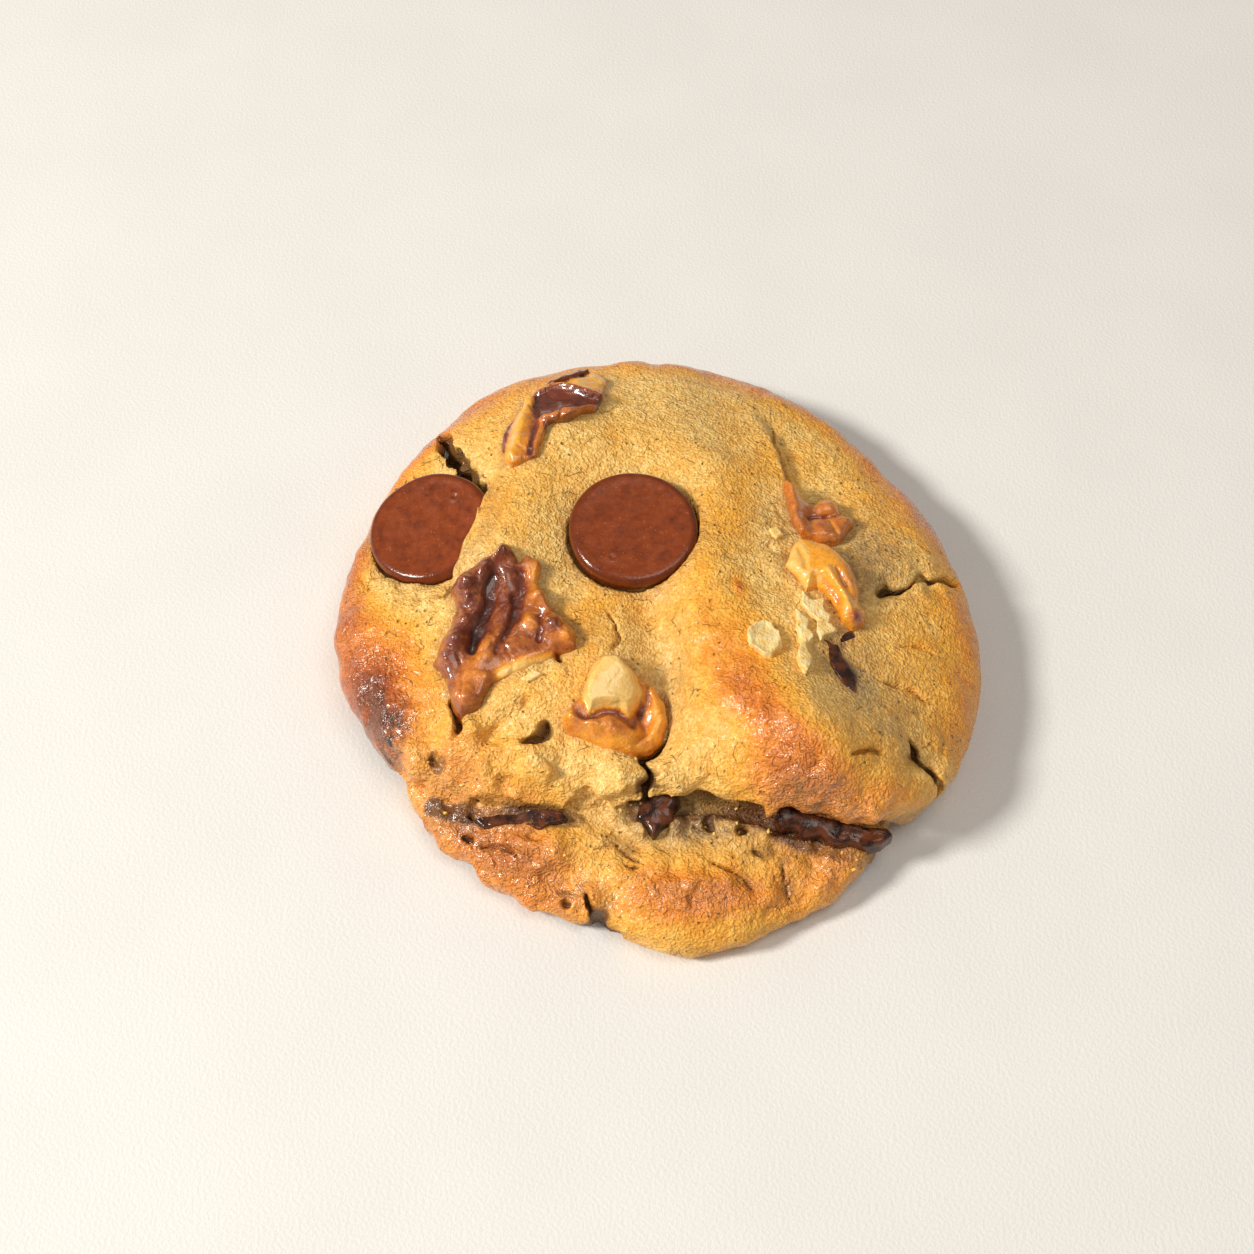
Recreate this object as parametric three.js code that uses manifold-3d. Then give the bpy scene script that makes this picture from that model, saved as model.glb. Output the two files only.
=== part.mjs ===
// A thick bakery cookie with chocolate discs, walnut pieces and melted chocolate, in millimetres, +Z up.
// It lies flat on its baked underside. +X is its right side and -Y its split front edge.
// The dough is one body: a domed upper lobe whose front lip stands off a lower lobe that slid out below it.
import * as THREE from 'three';
import { mergeVertices } from 'three/addons/utils/BufferGeometryUtils.js';
import Module from 'manifold-3d';

const wasm = await Module();
wasm.setup();
const { Manifold, Mesh } = wasm;

// Driving dimensions of the dough.
const PLATEAU = 20.5;          // height of the dome before its swells and hollows
const RIM = 7.5;               // height of the widest line round the back and sides
const LIP_RIM = 14.5;          // the same on the lifted lip
const LEFT_LIP_RIM = 10;       // and on the lip's left part, which lies down
const LIP_LIFT = 13;           // underside of the lifted lip
const EDGE_ROUND = 0.1;        // share of the radius that rounds under at the base
const LOWER_HEIGHT = 11;
const LOWER_RIM = 3.8;
const LOWER_CENTRE = { x: 0, y: -18 };
const FOOTPRINT_MIDDLE = { x: -0.4, y: 1.05 };     // it becomes the origin

// Radii of the outlines, evenly spaced anticlockwise from +X.
const UPPER_RADII = [
  56.3, 54.8, 55.3, 57.5, 60.0, 61.0, 62.0, 60.3, 58.0,
  57.0, 54.3, 49.0, 41.5, 36.5, 35.5, 45.5, 56.2, 56.6,
];
const LOWER_RADII = [
  40.0, 36.0, 36.0, 36.0, 36.0, 36.0, 36.0, 36.0, 38.0,
  42.0, 44.2, 40.4, 38.0, 38.2, 41.2, 40.8, 42.5, 42.8,
];

// Toppings.
const DISC_RADIUS = 11.3;
const DISC_THICK = 4.2;
const DISC_EDGE = 1.1;
const CLEARANCE = 0.3;         // between a topping and the pocket that it is baked into
const FINENESS = 0.12;         // how far a facet may lie off its true surface

// Ridges and hollows of the dome: a path, the half width of the swell across it, and its height.
const SWELLS = [
  { path: [[6, -4], [14.5, -18], [24, -30]], width: 10, height: 3.4 },     // the long swell down to the nose
  { path: [[20, -4], [27, -18], [33, -27]], width: 13, height: 2.0 },       // its broad right flank
  { path: [[21, -29], [27, -36]], width: 8, height: 2.6 },                  // the nose that hangs over the split
  { path: [[-1, -3], [1, -13], [-2, -26]], width: 5, height: -4.6 },       // the valley beside it
  { path: [[-16, 44], [-23, 30], [-27, 12]], width: 8, height: 3.5 },      // the crest above the side disc
  { path: [[8, 8], [10, 27]], width: 7, height: 2.6 },                      // dough pushed up beside the large disc
  { path: [[-12, 35], [2, 33]], width: 8, height: 1.5 },
  { path: [[-4.5, 13], [-4.4, 13]], width: 12, height: -1.6 },         // the dish that holds the large disc
  { path: [[-20, -26], [-2, -25]], width: 7, height: -1.5 },
  { path: [[-44, -8], [-43, -3]], width: 8, height: -1.2 },
];

// Steps in the dome, each higher on its inner side: the flap over the side disc, and the fold on the right.
const FLAP = [[-21, 38], [-27, 30], [-31, 22], [-34, 13], [-36.5, 4]];
const FLAP_DROP = 5.5;
const FLAP_SOFT = 3;
const SHELF = { x: -42, y: 18, reach: 15 };
const FOLD = [[17, 48], [21.5, 38], [24, 28], [25.5, 18], [27, 6]];
const FOLD_DROP = 3;
const FOLD_SOFT = 3;
const FOLD_REACH = 12;

// Bumps of the lower lobe.
const LOWER_BUMPS = [
  { x: -22, y: -43, along: 9, across: 4, height: 1.4 },
  { x: 8, y: -50, along: 9, across: 5, height: 1.8 },
  { x: 20, y: -44, along: 7, across: 5, height: 0.8 },
];

// Cracks and tears: a path, the height that it opens up to, and its width and depth.
const CRACKS = [
  { path: [[-1.5, -25.5], [-0.8, -29.5], [-2.2, -34.5]], top: 24, width: 3.2, depth: 10 },     // down to the split
  { path: [[37.5, 2.5], [42, 5.5], [46, 8.5], [50.5, 9.6]], top: 22, width: 3.0, depth: 9 },
  { path: [[-43, 41], [-38.5, 37], [-36.5, 32.5]], top: 22, width: 3.6, depth: 10 },
  { path: [[-10.6, -58], [-11.2, -52], [-12, -47.5]], top: 14, width: 2.8, depth: 15 },        // through the lower edge
  { path: [[45.5, -25.5], [47.5, -30.5]], top: 22, width: 2.8, depth: 10 },
];

// Lobes of a topping: centre, half lengths, and turn about +Z and lift of the long axis in degrees.
const WALNUTS = {
  walnut_curl: [
    { at: [-25.2, 35.6, 21.6], half: [8.2, 3.3, 3.0], turn: 78, lift: 5 },
    { at: [-17.0, 42.2, 21.6], half: [6.8, 3.6, 3.0], turn: -8, lift: 2 },
    { at: [-19.0, 46.6, 21.0], half: [7.2, 2.8, 2.0], turn: 22, lift: 8 },
    { at: [-16.8, 50.0, 22.4], half: [6.6, 1.5, 1.3], turn: 44, lift: 18 },
  ],
  walnut_dark: [
    { at: [-27.0, 7.0, 21.4], half: [2.6, 2.4, 2.6], turn: 0, lift: 0 },
    { at: [-30.8, 2.8, 20.8], half: [4.8, 3.8, 4.0], turn: 50, lift: 0 },
    { at: [-34.4, -5.0, 19.0], half: [5.4, 3.6, 3.8], turn: 65, lift: 0 },
    { at: [-26.6, -3.6, 19.6], half: [8.6, 5.2, 2.9], turn: 70, lift: 4 },
    { at: [-33.4, -13.0, 18.2], half: [5.4, 2.8, 2.4], turn: 84, lift: 8 },
    { at: [-28.6, -11.6, 18.6], half: [4.2, 2.8, 2.6], turn: 40, lift: 0 },
    { at: [-19.8, 1.4, 21.2], half: [4.6, 3.6, 3.2], turn: 80, lift: 0 },
    { at: [-18.0, -6.0, 20.4], half: [5.4, 4.2, 3.4], turn: -15, lift: 0 },
  ],
  walnut_round: [
    { at: [-8.3, -15.8, 20.4], half: [5.8, 4.2, 3.0], turn: 10, lift: 0 },
    { at: [-3.6, -20.6, 18.6], half: [5.6, 4.6, 3.8], turn: 60, lift: 0 },
    { at: [-11.8, -21.4, 18.0], half: [5.2, 4.0, 3.6], turn: -20, lift: 0 },
    { at: [-7.4, -23.2, 17.2], half: [6.0, 4.0, 3.6], turn: 0, lift: 0 },
  ],
  walnut_red: [
    { at: [30.4, 17.2, 18.6], half: [4.2, 4.0, 3.6], turn: 0, lift: 0 },
    { at: [26.0, 19.6, 18.0], half: [6.4, 2.9, 2.6], turn: -48, lift: 0 },
    { at: [28.2, 14.2, 17.8], half: [4.8, 3.2, 2.8], turn: 10, lift: 0 },
    { at: [33.6, 17.2, 17.4], half: [2.6, 1.9, 1.7], turn: 0, lift: 0 },
  ],
  walnut_golden: [
    { at: [28.0, 4.8, 20.4], half: [6.6, 5.0, 4.2], turn: -48, lift: 0 },
    { at: [24.0, 4.6, 20.2], half: [4.2, 3.6, 3.0], turn: 40, lift: 0 },
    { at: [30.8, -0.8, 20.2], half: [5.6, 3.2, 3.0], turn: -62, lift: -2 },
    { at: [32.4, -4.6, 19.8], half: [2.8, 2.5, 2.4], turn: 0, lift: 0 },
  ],
};
const CHOCOLATE = {
  chocolate_lip: [
    { at: [23.5, -38.0, 12.2], half: [4.2, 3.4, 1.9], turn: -8, lift: -4 },
    { at: [29.5, -39.2, 11.6], half: [4.6, 3.4, 1.9], turn: -8, lift: -5 },
    { at: [35.0, -39.6, 9.6], half: [4.4, 3.0, 2.8], turn: 4, lift: -4 },
  ],
  chocolate_front: [
    { at: [-1.4, -37.0, 11.0], half: [3.4, 2.4, 1.7], turn: 20, lift: 0 },
    { at: [0.2, -34.6, 11.4], half: [3.0, 2.2, 1.7], turn: 60, lift: 0 },
  ],
  chocolate_left: [
    { at: [-27.6, -37.4, 9.7], half: [4.6, 1.6, 1.5], turn: -8, lift: 0 },
    { at: [-20.4, -37.6, 10.0], half: [4.6, 1.6, 1.5], turn: 4, lift: 0 },
  ],
  chocolate_top: [
    { at: [29.6, -10.8, 20.2], half: [3.4, 1.9, 1.8], turn: 20, lift: 0 },
    { at: [31.2, -15.6, 20.0], half: [4.4, 2.0, 1.8], turn: -62, lift: -4 },
  ],
};
const LOBE_SIDES = 9;
const LOBE_ROWS = 6;

// Small walnut scraps that lie on the dome: centre, half lengths and turn.
const SCRAPS = [
  { x: 17.0, y: -11.8, half: [3.1, 2.7, 1.4], turn: 30 },
  { x: 23.4, y: -10.6, half: [4.6, 1.4, 1.4], turn: 96 },
  { x: 26.4, y: -5.6, half: [3.8, 1.8, 1.4], turn: 120 },
];

const DOUGH_COLOUR = 0xc99a52;
const CHOCOLATE_COLOUR = 0x5a2c1a;
const WALNUT_COLOURS = {
  walnut_curl: 0xa9531b,
  walnut_dark: 0x6d2b16,
  walnut_round: 0xb87436,
  walnut_red: 0xa0572a,
  walnut_golden: 0xd9892b,
};

const radians = THREE.MathUtils.degToRad;
const smooth = (t) => THREE.MathUtils.smoothstep(t, 0, 1);

// Radius of an outline at an angle, by a closed curve through its evenly spaced radii.
function radiusAt(radii, angle) {
  const n = radii.length;
  const t = (((angle / (2 * Math.PI)) * n) % n + n) % n;
  const i = Math.floor(t);
  const f = t - i;
  const [a, b, c, d] = [-1, 0, 1, 2].map((k) => radii[(i + k + n) % n]);
  return b + 0.5 * f * (c - a + f * (2 * a - 5 * b + 4 * c - d + f * (3 * (b - c) + d - a)));
}

// Distance from a path, positive on its left, and the share of its length passed, 0 to 1.
function fromPath(x, y, path) {
  let best = { distance: Infinity, side: 1, share: 0 };
  let done = 0;
  for (let i = 1; i < path.length; i++) {
    const [ax, ay] = path[i - 1];
    const [dx, dy] = [path[i][0] - ax, path[i][1] - ay];
    const length = Math.hypot(dx, dy);
    const t = THREE.MathUtils.clamp(((x - ax) * dx + (y - ay) * dy) / length ** 2, 0, 1);
    const distance = Math.hypot(x - ax - t * dx, y - ay - t * dy);
    if (distance < best.distance) {
      const side = Math.sign(dx * (y - ay) - dy * (x - ax)) || 1;
      best = { distance, side, share: done + t * length };
    }
    done += length;
  }
  return { off: best.distance * best.side, share: best.share / done };
}

// 1 between two angles in degrees, easing to 0 over soft degrees before them and softAfter degrees past them.
function between(angle, low, high, soft, softAfter = soft) {
  const turned = (a) => ((a % 360) + 360) % 360;
  const a = turned(THREE.MathUtils.radToDeg(angle));
  return smooth((a - turned(low)) / soft + 1) * smooth((turned(high) - a) / softAfter + 1);
}

const onLip = (angle) => between(angle, -98, -50, 14, 26);
const underLip = (angle) => between(angle, -98, -50, 14);
const onLeftLip = (angle) => between(angle, -140, -98, 12);

// Height of the dome's surface before it rounds down to the rim.
function domeHeight(x, y) {
  let z = PLATEAU;
  for (const { path, width, height } of SWELLS) {
    z += height * Math.exp(-((fromPath(x, y, path).off / width) ** 2));
  }
  const shelf = Math.exp(-(((x - SHELF.x) / SHELF.reach) ** 4) - ((y - SHELF.y) / SHELF.reach) ** 4);
  z -= FLAP_DROP * shelf * smooth(0.5 - fromPath(x, y, FLAP).off / FLAP_SOFT);
  const { off, share } = fromPath(x, y, FOLD);
  const fade = Math.exp(-((Math.max(off - FOLD_SOFT, 0) / FOLD_REACH) ** 2));
  z -= FOLD_DROP * fade * smooth(0.5 + off / FOLD_SOFT) * smooth(share / 0.3) * smooth((1 - share) / 0.3);
  return z;
}

// The three surfaces of the lobes. rho is the share of the outline's radius, 1 at the rim.
const upperRim = (angle) => RIM + (LIP_RIM - RIM) * onLip(angle) + (LEFT_LIP_RIM - RIM) * onLeftLip(angle);

function upperTop(x, y, angle, rho) {
  const blunt = 3 + 4 * onLip(angle) + 1.5 * onLeftLip(angle);
  const rim = upperRim(angle);
  return rim + (domeHeight(x, y) - rim) * Math.sqrt(1 - rho ** blunt);
}

function domeAt(x, y) {
  const angle = Math.atan2(y, x);
  return upperTop(x, y, angle, Math.hypot(x, y) / radiusAt(UPPER_RADII, angle));
}

function roundUnder(rim, rho) {
  const t = THREE.MathUtils.clamp((rho - 1 + EDGE_ROUND) / EDGE_ROUND, 0, 1);
  return rim * (1 - Math.sqrt(1 - t * t));
}

function upperUnder(x, y, angle, rho) {
  const lift = LIP_LIFT * smooth((rho - 0.6) / 0.25) * underLip(angle);
  return Math.max(roundUnder(upperRim(angle), rho), lift);
}

function lowerTop(x, y, angle, rho) {
  let z = LOWER_HEIGHT;
  for (const { x: cx, y: cy, along, across, height } of LOWER_BUMPS) {
    z += height * Math.exp(-(((x - cx) / along) ** 2) - ((y - cy) / across) ** 2);
  }
  return LOWER_RIM + (z - LOWER_RIM) * Math.sqrt(1 - rho ** 4);
}

const lowerUnder = (x, y, angle, rho) => roundUnder(LOWER_RIM, rho);

// A lobe of dough: a sphere whose upper rows are laid on the top surface and lower rows on the underside.
function lobeGeometry({ radii, centre, top, under, sides, topRows, underRows }) {
  const rows = topRows + underRows;
  const geometry = new THREE.SphereGeometry(1, sides, rows);
  const { position, uv } = geometry.attributes;
  for (let i = 0; i < position.count; i++) {
    const row = Math.round((1 - uv.getY(i)) * rows);
    const above = row <= topRows;
    const t = above ? row / topRows : (rows - row) / underRows;
    const rho = above ? Math.sin((t * Math.PI) / 2) : 1 - (1 - t) ** 2;
    const angle = Math.atan2(-position.getZ(i), position.getX(i));
    const r = rho * radiusAt(radii, angle);
    const x = centre.x + r * Math.cos(angle);
    const y = centre.y + r * Math.sin(angle);
    position.setXYZ(i, x, y, (above ? top : under)(x, y, angle, rho));
  }
  return geometry;
}

// A closed geometry as a solid that can be joined and cut.
function solid(geometry) {
  const bare = geometry.clone();
  bare.deleteAttribute('normal');
  bare.deleteAttribute('uv');
  const merged = mergeVertices(bare, 1e-4);
  return new Manifold(new Mesh({
    numProp: 3,
    vertProperties: new Float32Array(merged.attributes.position.array),
    triVerts: new Uint32Array(merged.index.array),
  }));
}

const joined = (solids) => solids.reduce((all, one) => all.add(one));
const largest = (made) => made.decompose().reduce((a, b) => (b.volume() > a.volume() ? b : a));

function geometryOf(made) {
  const { numProp, vertProperties, triVerts } = made.getMesh();
  const points = new Float32Array((vertProperties.length / numProp) * 3);
  for (let i = 0; i < points.length / 3; i++) {
    points.set(vertProperties.subarray(i * numProp, i * numProp + 3), i * 3);
  }
  const geometry = new THREE.BufferGeometry();
  geometry.setAttribute('position', new THREE.BufferAttribute(points, 3));
  geometry.setIndex(new THREE.BufferAttribute(new Uint32Array(triVerts), 1));
  geometry.computeVertexNormals();
  return geometry;
}

// One rounded lobe, larger all round by grow.
function lobe({ at, half, turn, lift }, grow = 0) {
  const geometry = new THREE.SphereGeometry(1, LOBE_SIDES, LOBE_ROWS);
  geometry.scale(half[0] + grow, half[1] + grow, half[2] + grow);
  geometry.rotateY(-radians(lift));
  geometry.rotateZ(radians(turn));
  geometry.translate(...at);
  return solid(geometry);
}

const lobed = (lobes, grow = 0) => joined(lobes.map((one) => lobe(one, grow))).simplify(FINENESS);

// A chocolate disc, its edge rounded above and below, larger all round by grow.
function disc({ at, tiltX, tiltY }, grow = 0) {
  const radius = DISC_RADIUS + grow;
  const half = DISC_THICK / 2 + grow;
  const edge = DISC_EDGE + grow;
  const profile = new THREE.Path();
  profile.moveTo(0, -half);
  profile.lineTo(radius - edge, -half);
  profile.absarc(radius - edge, -half + edge, edge, -Math.PI / 2, 0);
  profile.absarc(radius - edge, half - edge, edge, 0, Math.PI / 2);
  profile.lineTo(0, half);
  const geometry = new THREE.LatheGeometry(profile.getPoints(1), 28);
  geometry.rotateX(Math.PI / 2);
  geometry.rotateX(radians(tiltX));
  geometry.rotateY(radians(tiltY));
  geometry.translate(...at);
  return solid(geometry);
}

// A crack: a lens-shaped slot along its path, open at the top.
function crack({ path, top, width, depth }) {
  const curve = new THREE.SplineCurve(path.map(([x, y]) => new THREE.Vector2(x, y)));
  const steps = 4 * (path.length - 1);
  const sides = [1, -1].map((side) => {
    const edge = [];
    for (let i = 1; i < steps; i++) {
      const share = i / steps;
      const along = curve.getTangent(share);
      const half = (side * width * Math.sqrt(Math.sin(share * Math.PI))) / 2;
      edge.push(curve.getPoint(share).add(new THREE.Vector2(-along.y, along.x).multiplyScalar(half)));
    }
    return edge;
  });
  const outline = [curve.getPoint(0), ...sides[1], curve.getPoint(1), ...sides[0].reverse()];
  const geometry = new THREE.ExtrudeGeometry(new THREE.Shape(outline), { depth, bevelEnabled: false });
  geometry.translate(0, 0, top - depth);
  return solid(geometry);
}

const DISCS = {
  disc_large: { at: [-4.6, 13.1, 21.2], tiltX: 5, tiltY: 0 },
  disc_side: { at: [-40.6, 17.8, 14.6], tiltX: 3, tiltY: -13 },
};

function dough(pockets) {
  const upper = solid(lobeGeometry({
    radii: UPPER_RADII,
    centre: { x: 0, y: 0 },
    top: upperTop,
    under: upperUnder,
    sides: 68,
    topRows: 19,
    underRows: 5,
  }));
  const lower = solid(lobeGeometry({
    radii: LOWER_RADII,
    centre: LOWER_CENTRE,
    top: lowerTop,
    under: lowerUnder,
    sides: 50,
    topRows: 9,
    underRows: 4,
  }));
  const scraps = SCRAPS.map(({ x, y, half, turn }) => lobe({ at: [x, y, domeAt(x, y)], half, turn, lift: 0 }));
  const whole = joined([upper, lower, ...scraps]);
  const cut = CRACKS.map(crack).concat(pockets).reduce((left, one) => left.subtract(one), whole);
  return largest(cut).simplify(FINENESS);
}

function mesh(name, made, colour, roughness) {
  const material = new THREE.MeshStandardMaterial({ color: colour, roughness, metalness: 0 });
  const piece = new THREE.Mesh(geometryOf(made), material);
  piece.name = name;
  return piece;
}

const cookie = new THREE.Group();
const lobedPieces = { ...WALNUTS, ...CHOCOLATE };
const pockets = [
  ...Object.values(DISCS).map((one) => disc(one, CLEARANCE)),
  ...Object.values(lobedPieces).map((lobes) => lobed(lobes, CLEARANCE)),
];
cookie.add(mesh('cookie', dough(pockets), DOUGH_COLOUR, 0.8));
for (const [name, one] of Object.entries(DISCS)) {
  cookie.add(mesh(name, disc(one), CHOCOLATE_COLOUR, 0.35));
}
for (const [name, lobes] of Object.entries(lobedPieces)) {
  cookie.add(mesh(name, lobed(lobes), WALNUT_COLOURS[name] ?? CHOCOLATE_COLOUR, 0.4));
}

cookie.position.set(-FOOTPRINT_MIDDLE.x, -FOOTPRINT_MIDDLE.y, 0);

export default cookie;
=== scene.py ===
"""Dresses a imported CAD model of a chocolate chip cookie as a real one, with chocolate and toasted walnuts.

Dough, walnuts and melted chocolate are each a field in a block of small cubes, above zero inside the food.
A surface of quads is laid through the cubes where the field changes sign.
Lengths are in millimetres here and become metres when a mesh is made.
"""

import bmesh
import bpy
import numpy as np
from mathutils import Euler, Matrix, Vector


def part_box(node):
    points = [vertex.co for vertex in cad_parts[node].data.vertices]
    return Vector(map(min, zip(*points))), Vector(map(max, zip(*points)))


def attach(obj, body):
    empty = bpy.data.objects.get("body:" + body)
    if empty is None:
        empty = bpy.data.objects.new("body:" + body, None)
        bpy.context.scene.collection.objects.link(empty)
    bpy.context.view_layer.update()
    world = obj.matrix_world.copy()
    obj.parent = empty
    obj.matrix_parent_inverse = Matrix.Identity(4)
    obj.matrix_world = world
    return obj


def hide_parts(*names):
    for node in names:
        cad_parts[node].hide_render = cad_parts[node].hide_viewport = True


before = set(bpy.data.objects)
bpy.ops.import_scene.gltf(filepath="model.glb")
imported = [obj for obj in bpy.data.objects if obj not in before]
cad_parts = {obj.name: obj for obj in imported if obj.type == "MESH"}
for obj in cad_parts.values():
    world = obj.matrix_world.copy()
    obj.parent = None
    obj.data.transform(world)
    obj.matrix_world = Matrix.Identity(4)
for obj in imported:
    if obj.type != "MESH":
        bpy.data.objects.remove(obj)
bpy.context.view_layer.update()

bl_info = {
    "name": "Chocolate chip cookie",
    "version": (1, 0, 0),
    "blender": (4, 5, 0),
    "location": "View3D > Sidebar > Cookie",
    "description": "Builds a thick cookie with chocolate discs and walnuts",
    "category": "Object",
}

MM = 0.001
FOOTPRINT_MIDDLE = np.array([-0.4, 1.05, 0.0])    # the CAD model's origin, in the coordinates used here

# The dough's driving dimensions, as in the CAD model. Angles are in degrees.
PLATEAU = 20.5
RIM = 7.5
LIP_RIM = 14.5
LEFT_LIP_RIM = 10.0
LIP_LIFT = 13.0
LIP_ANGLES = (-98, -50)
LEFT_LIP_ANGLES = (-140, -98)
EDGE_ROUND = 0.1
LOWER_HEIGHT = 11.0
LOWER_RIM = 3.8
LOWER_CENTRE = (0.0, -18.0)
UPPER_RADII = (
    56.3, 54.8, 55.3, 57.5, 60.0, 61.0, 62.0, 60.3, 58.0,
    57.0, 54.3, 49.0, 41.5, 36.5, 35.5, 45.5, 56.2, 56.6,
)
LOWER_RADII = (
    40.0, 36.0, 36.0, 36.0, 36.0, 36.0, 36.0, 36.0, 38.0,
    42.0, 44.2, 40.4, 38.0, 38.2, 41.2, 40.8, 42.5, 42.8,
)

# The lower lobe shows below a height and in front of a line. The lip's underside holds what melts under it.
LOWER_SHOWS_BELOW = 12.6
LOWER_SHOWS_BEFORE = -27.0
LIP_UNDERSIDE = 8.6

# Ridges and hollows of the dome: path, half width, height.
SWELLS = (
    (((6, -4), (14.5, -18), (24, -30)), 10, 3.4),
    (((20, -4), (27, -18), (33, -27)), 13, 2.0),
    (((21, -29), (27, -36)), 8, 2.6),
    (((-1, -3), (1, -13), (-2, -26)), 5, -4.6),
    (((-16, 44), (-23, 30), (-27, 12)), 8, 3.5),
    (((8, 8), (10, 27)), 7, 2.6),
    (((-12, 35), (2, 33)), 8, 1.5),
    (((-4.5, 13), (-4.4, 13)), 12, -1.6),
    (((-20, -26), (-2, -25)), 7, -1.5),
    (((-44, -8), (-43, -3)), 8, -1.2),
)
FLAP = ((-21, 38), (-27, 30), (-31, 22), (-34, 13), (-36.5, 4))
FLAP_DROP = 5.5
FLAP_SOFT = 1.8
SHELF_MIDDLE = (-42, 18)
SHELF_REACH = 15
FOLD = ((17, 48), (21.5, 38), (24, 28), (25.5, 18), (27, 6))
FOLD_DROP = 3.0
FOLD_SOFT = 3.0
FOLD_REACH = 12.0
LOWER_BUMPS = ((-22, -43, 9, 4, 1.4), (8, -50, 9, 5, 1.8), (20, -44, 7, 5, 0.8))

# Cracks and tears: path, width, depth.
CRACKS = (
    (((2.0, -24.0), (-0.4, -27.4), (-2.8, -29.6), (-1.8, -32.8), (-2.8, -36.4)), 2.6, 8.0),
    (((37.6, 1.2), (40.4, 3.0), (44.0, 4.4)), 2.6, 8.0),
    (((41.4, 3.4), (44.9, 5.4), (48.4, 6.4), (53.5, 9.6)), 1.8, 5.0),
    (((-42.0, 42.5), (-39.0, 37.0), (-36.4, 32.4), (-33.8, 28.5), (-31.8, 24.5)), 3.6, 7.5),
    (((-9.4, -63.0), (-10.0, -56.0), (-10.8, -51.6)), 6.0, 16.0),
    (((-9.6, -55.0), (-12.0, -51.4), (-12.4, -48.6)), 1.6, 4.0),
    (((40.4, -25.6), (42.2, -28.8), (45.2, -31.0), (47.0, -35.0)), 1.7, 5.0),
    (((-9.4, -2.4), (-7.6, -5.0), (-7.0, -8.0), (-8.2, -11.0)), 0.8, 1.6),
    (((40.0, -8.8), (44.0, -7.4), (48.6, -8.4)), 0.7, 1.4),
    (((-18.9, -22.6), (-19.8, -25.6), (-23.4, -27.4)), 2.4, 3.4),
    (((-35.0, -18.6), (-34.0, -22.0), (-33.6, -25.0)), 1.3, 3.0),
    (((-8.6, -40.4), (-5.6, -42.6), (-2.4, -45.4)), 1.1, 2.6),
    (((8.0, -44.6), (12.0, -46.2), (15.4, -49.4)), 1.1, 2.4),
    (((20.2, -44.4), (20.6, -47.4), (21.6, -50.6)), 1.2, 2.6),
    (((20.8, 41.0), (22.8, 30.0), (24.2, 20.5)), 1.0, 2.0),
    (((-30.5, -40.5), (-26.5, -41.0), (-23.6, -43.4)), 1.0, 2.2),
    (((30.4, -33.0), (34.0, -30.6), (37.4, -30.4)), 0.9, 2.0),
    (((35.9, -15.6), (39.0, -16.4), (42.6, -16.6), (45.6, -18.4)), 0.9, 1.8),
    (((-34.5, -23.6), (-33.1, -24.4)), 2.2, 3.2),
    (((-35.6, -18.6), (-34.2, -20.0)), 1.8, 2.6),
    (((-38.9, -27.4), (-37.2, -28.6)), 1.8, 2.8),
    (((-33.4, -38.6), (-31.2, -39.8)), 2.0, 2.6),
    (((-32.4, -35.2), (-31.0, -36.2)), 1.8, 2.6),
    (((-6.0, -44.6), (-3.6, -45.6)), 1.8, 2.6),
    (((-16.4, -49.8), (-14.6, -50.6)), 1.8, 2.6),
    (((6.8, -37.8), (9.2, -38.6)), 2.2, 2.6),
    (((12.4, -38.4), (14.6, -39.4)), 2.0, 2.6),
    (((15.0, -42.2), (17.2, -43.0)), 1.8, 2.4),
    (((-18.2, -11.8), (-16.6, -13.0)), 2.0, 2.6),
)

# Hollows that run under a lip: path, half width, middle height, half height.
HOLLOWS = (
    (((-3.4, -35.4), (4.1, -35.0), (10.5, -35.2), (15.0, -36.6), (19.4, -38.4), (23.8, -40.0),
      (28.2, -41.2), (32.2, -41.6), (38.2, -40.6)), 1.7, 10.9, 2.6),
    (((-38.5, -33.4), (-36.1, -34.6), (-29.0, -36.0), (-22.0, -36.4), (-14.1, -37.0)), 0.8, 10.9, 1.5),
)

# Patches of the surface: x, y, half length, half width, turn in degrees, amount.
TORN = (
    (-40, 5.0, 7, 4, 0, 1.0),
    (-50, 9.0, 4, 3.5, 0, 0.7),
    (-37, 33.0, 7, 3.5, -55, 0.8),
    (0, -37.0, 9, 5, 0, 0.9),
    (20, -39.0, 19, 4.5, -4, 1.0),
    (43, 6.0, 9, 3.0, 24, 0.7),
    (-19.5, -12.5, 4, 3, 0, 0.8),
    (-27, -27.5, 13, 6.5, -8, 0.8),
    (-11, -47.0, 9, 6, 0, 0.7),
    (-37, -33.0, 6, 5, 0, 0.5),
    (20, 12.0, 3, 9, 0, 0.6),
    (44, -30.0, 5, 4, 0, 0.8),
    (-9, -35.0, 6, 3, 0, 1.0),
    (-2.4, -29.0, 3, 5, 0, 0.5),
    (28, -46.0, 10, 4, 20, 0.5),
    (-28, -32.0, 14, 3, 0, 0.8),
    (-42, -27.0, 7, 4, 0, 0.6),
    (-27, -22.5, 9, 5, 0, 0.7),
    (-33, -44.0, 8, 3, -35, 0.5),
    (-18, -42.0, 12, 7, 0, 0.5),
    (6, -50.0, 12, 5, 0, 0.4),
)
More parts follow.
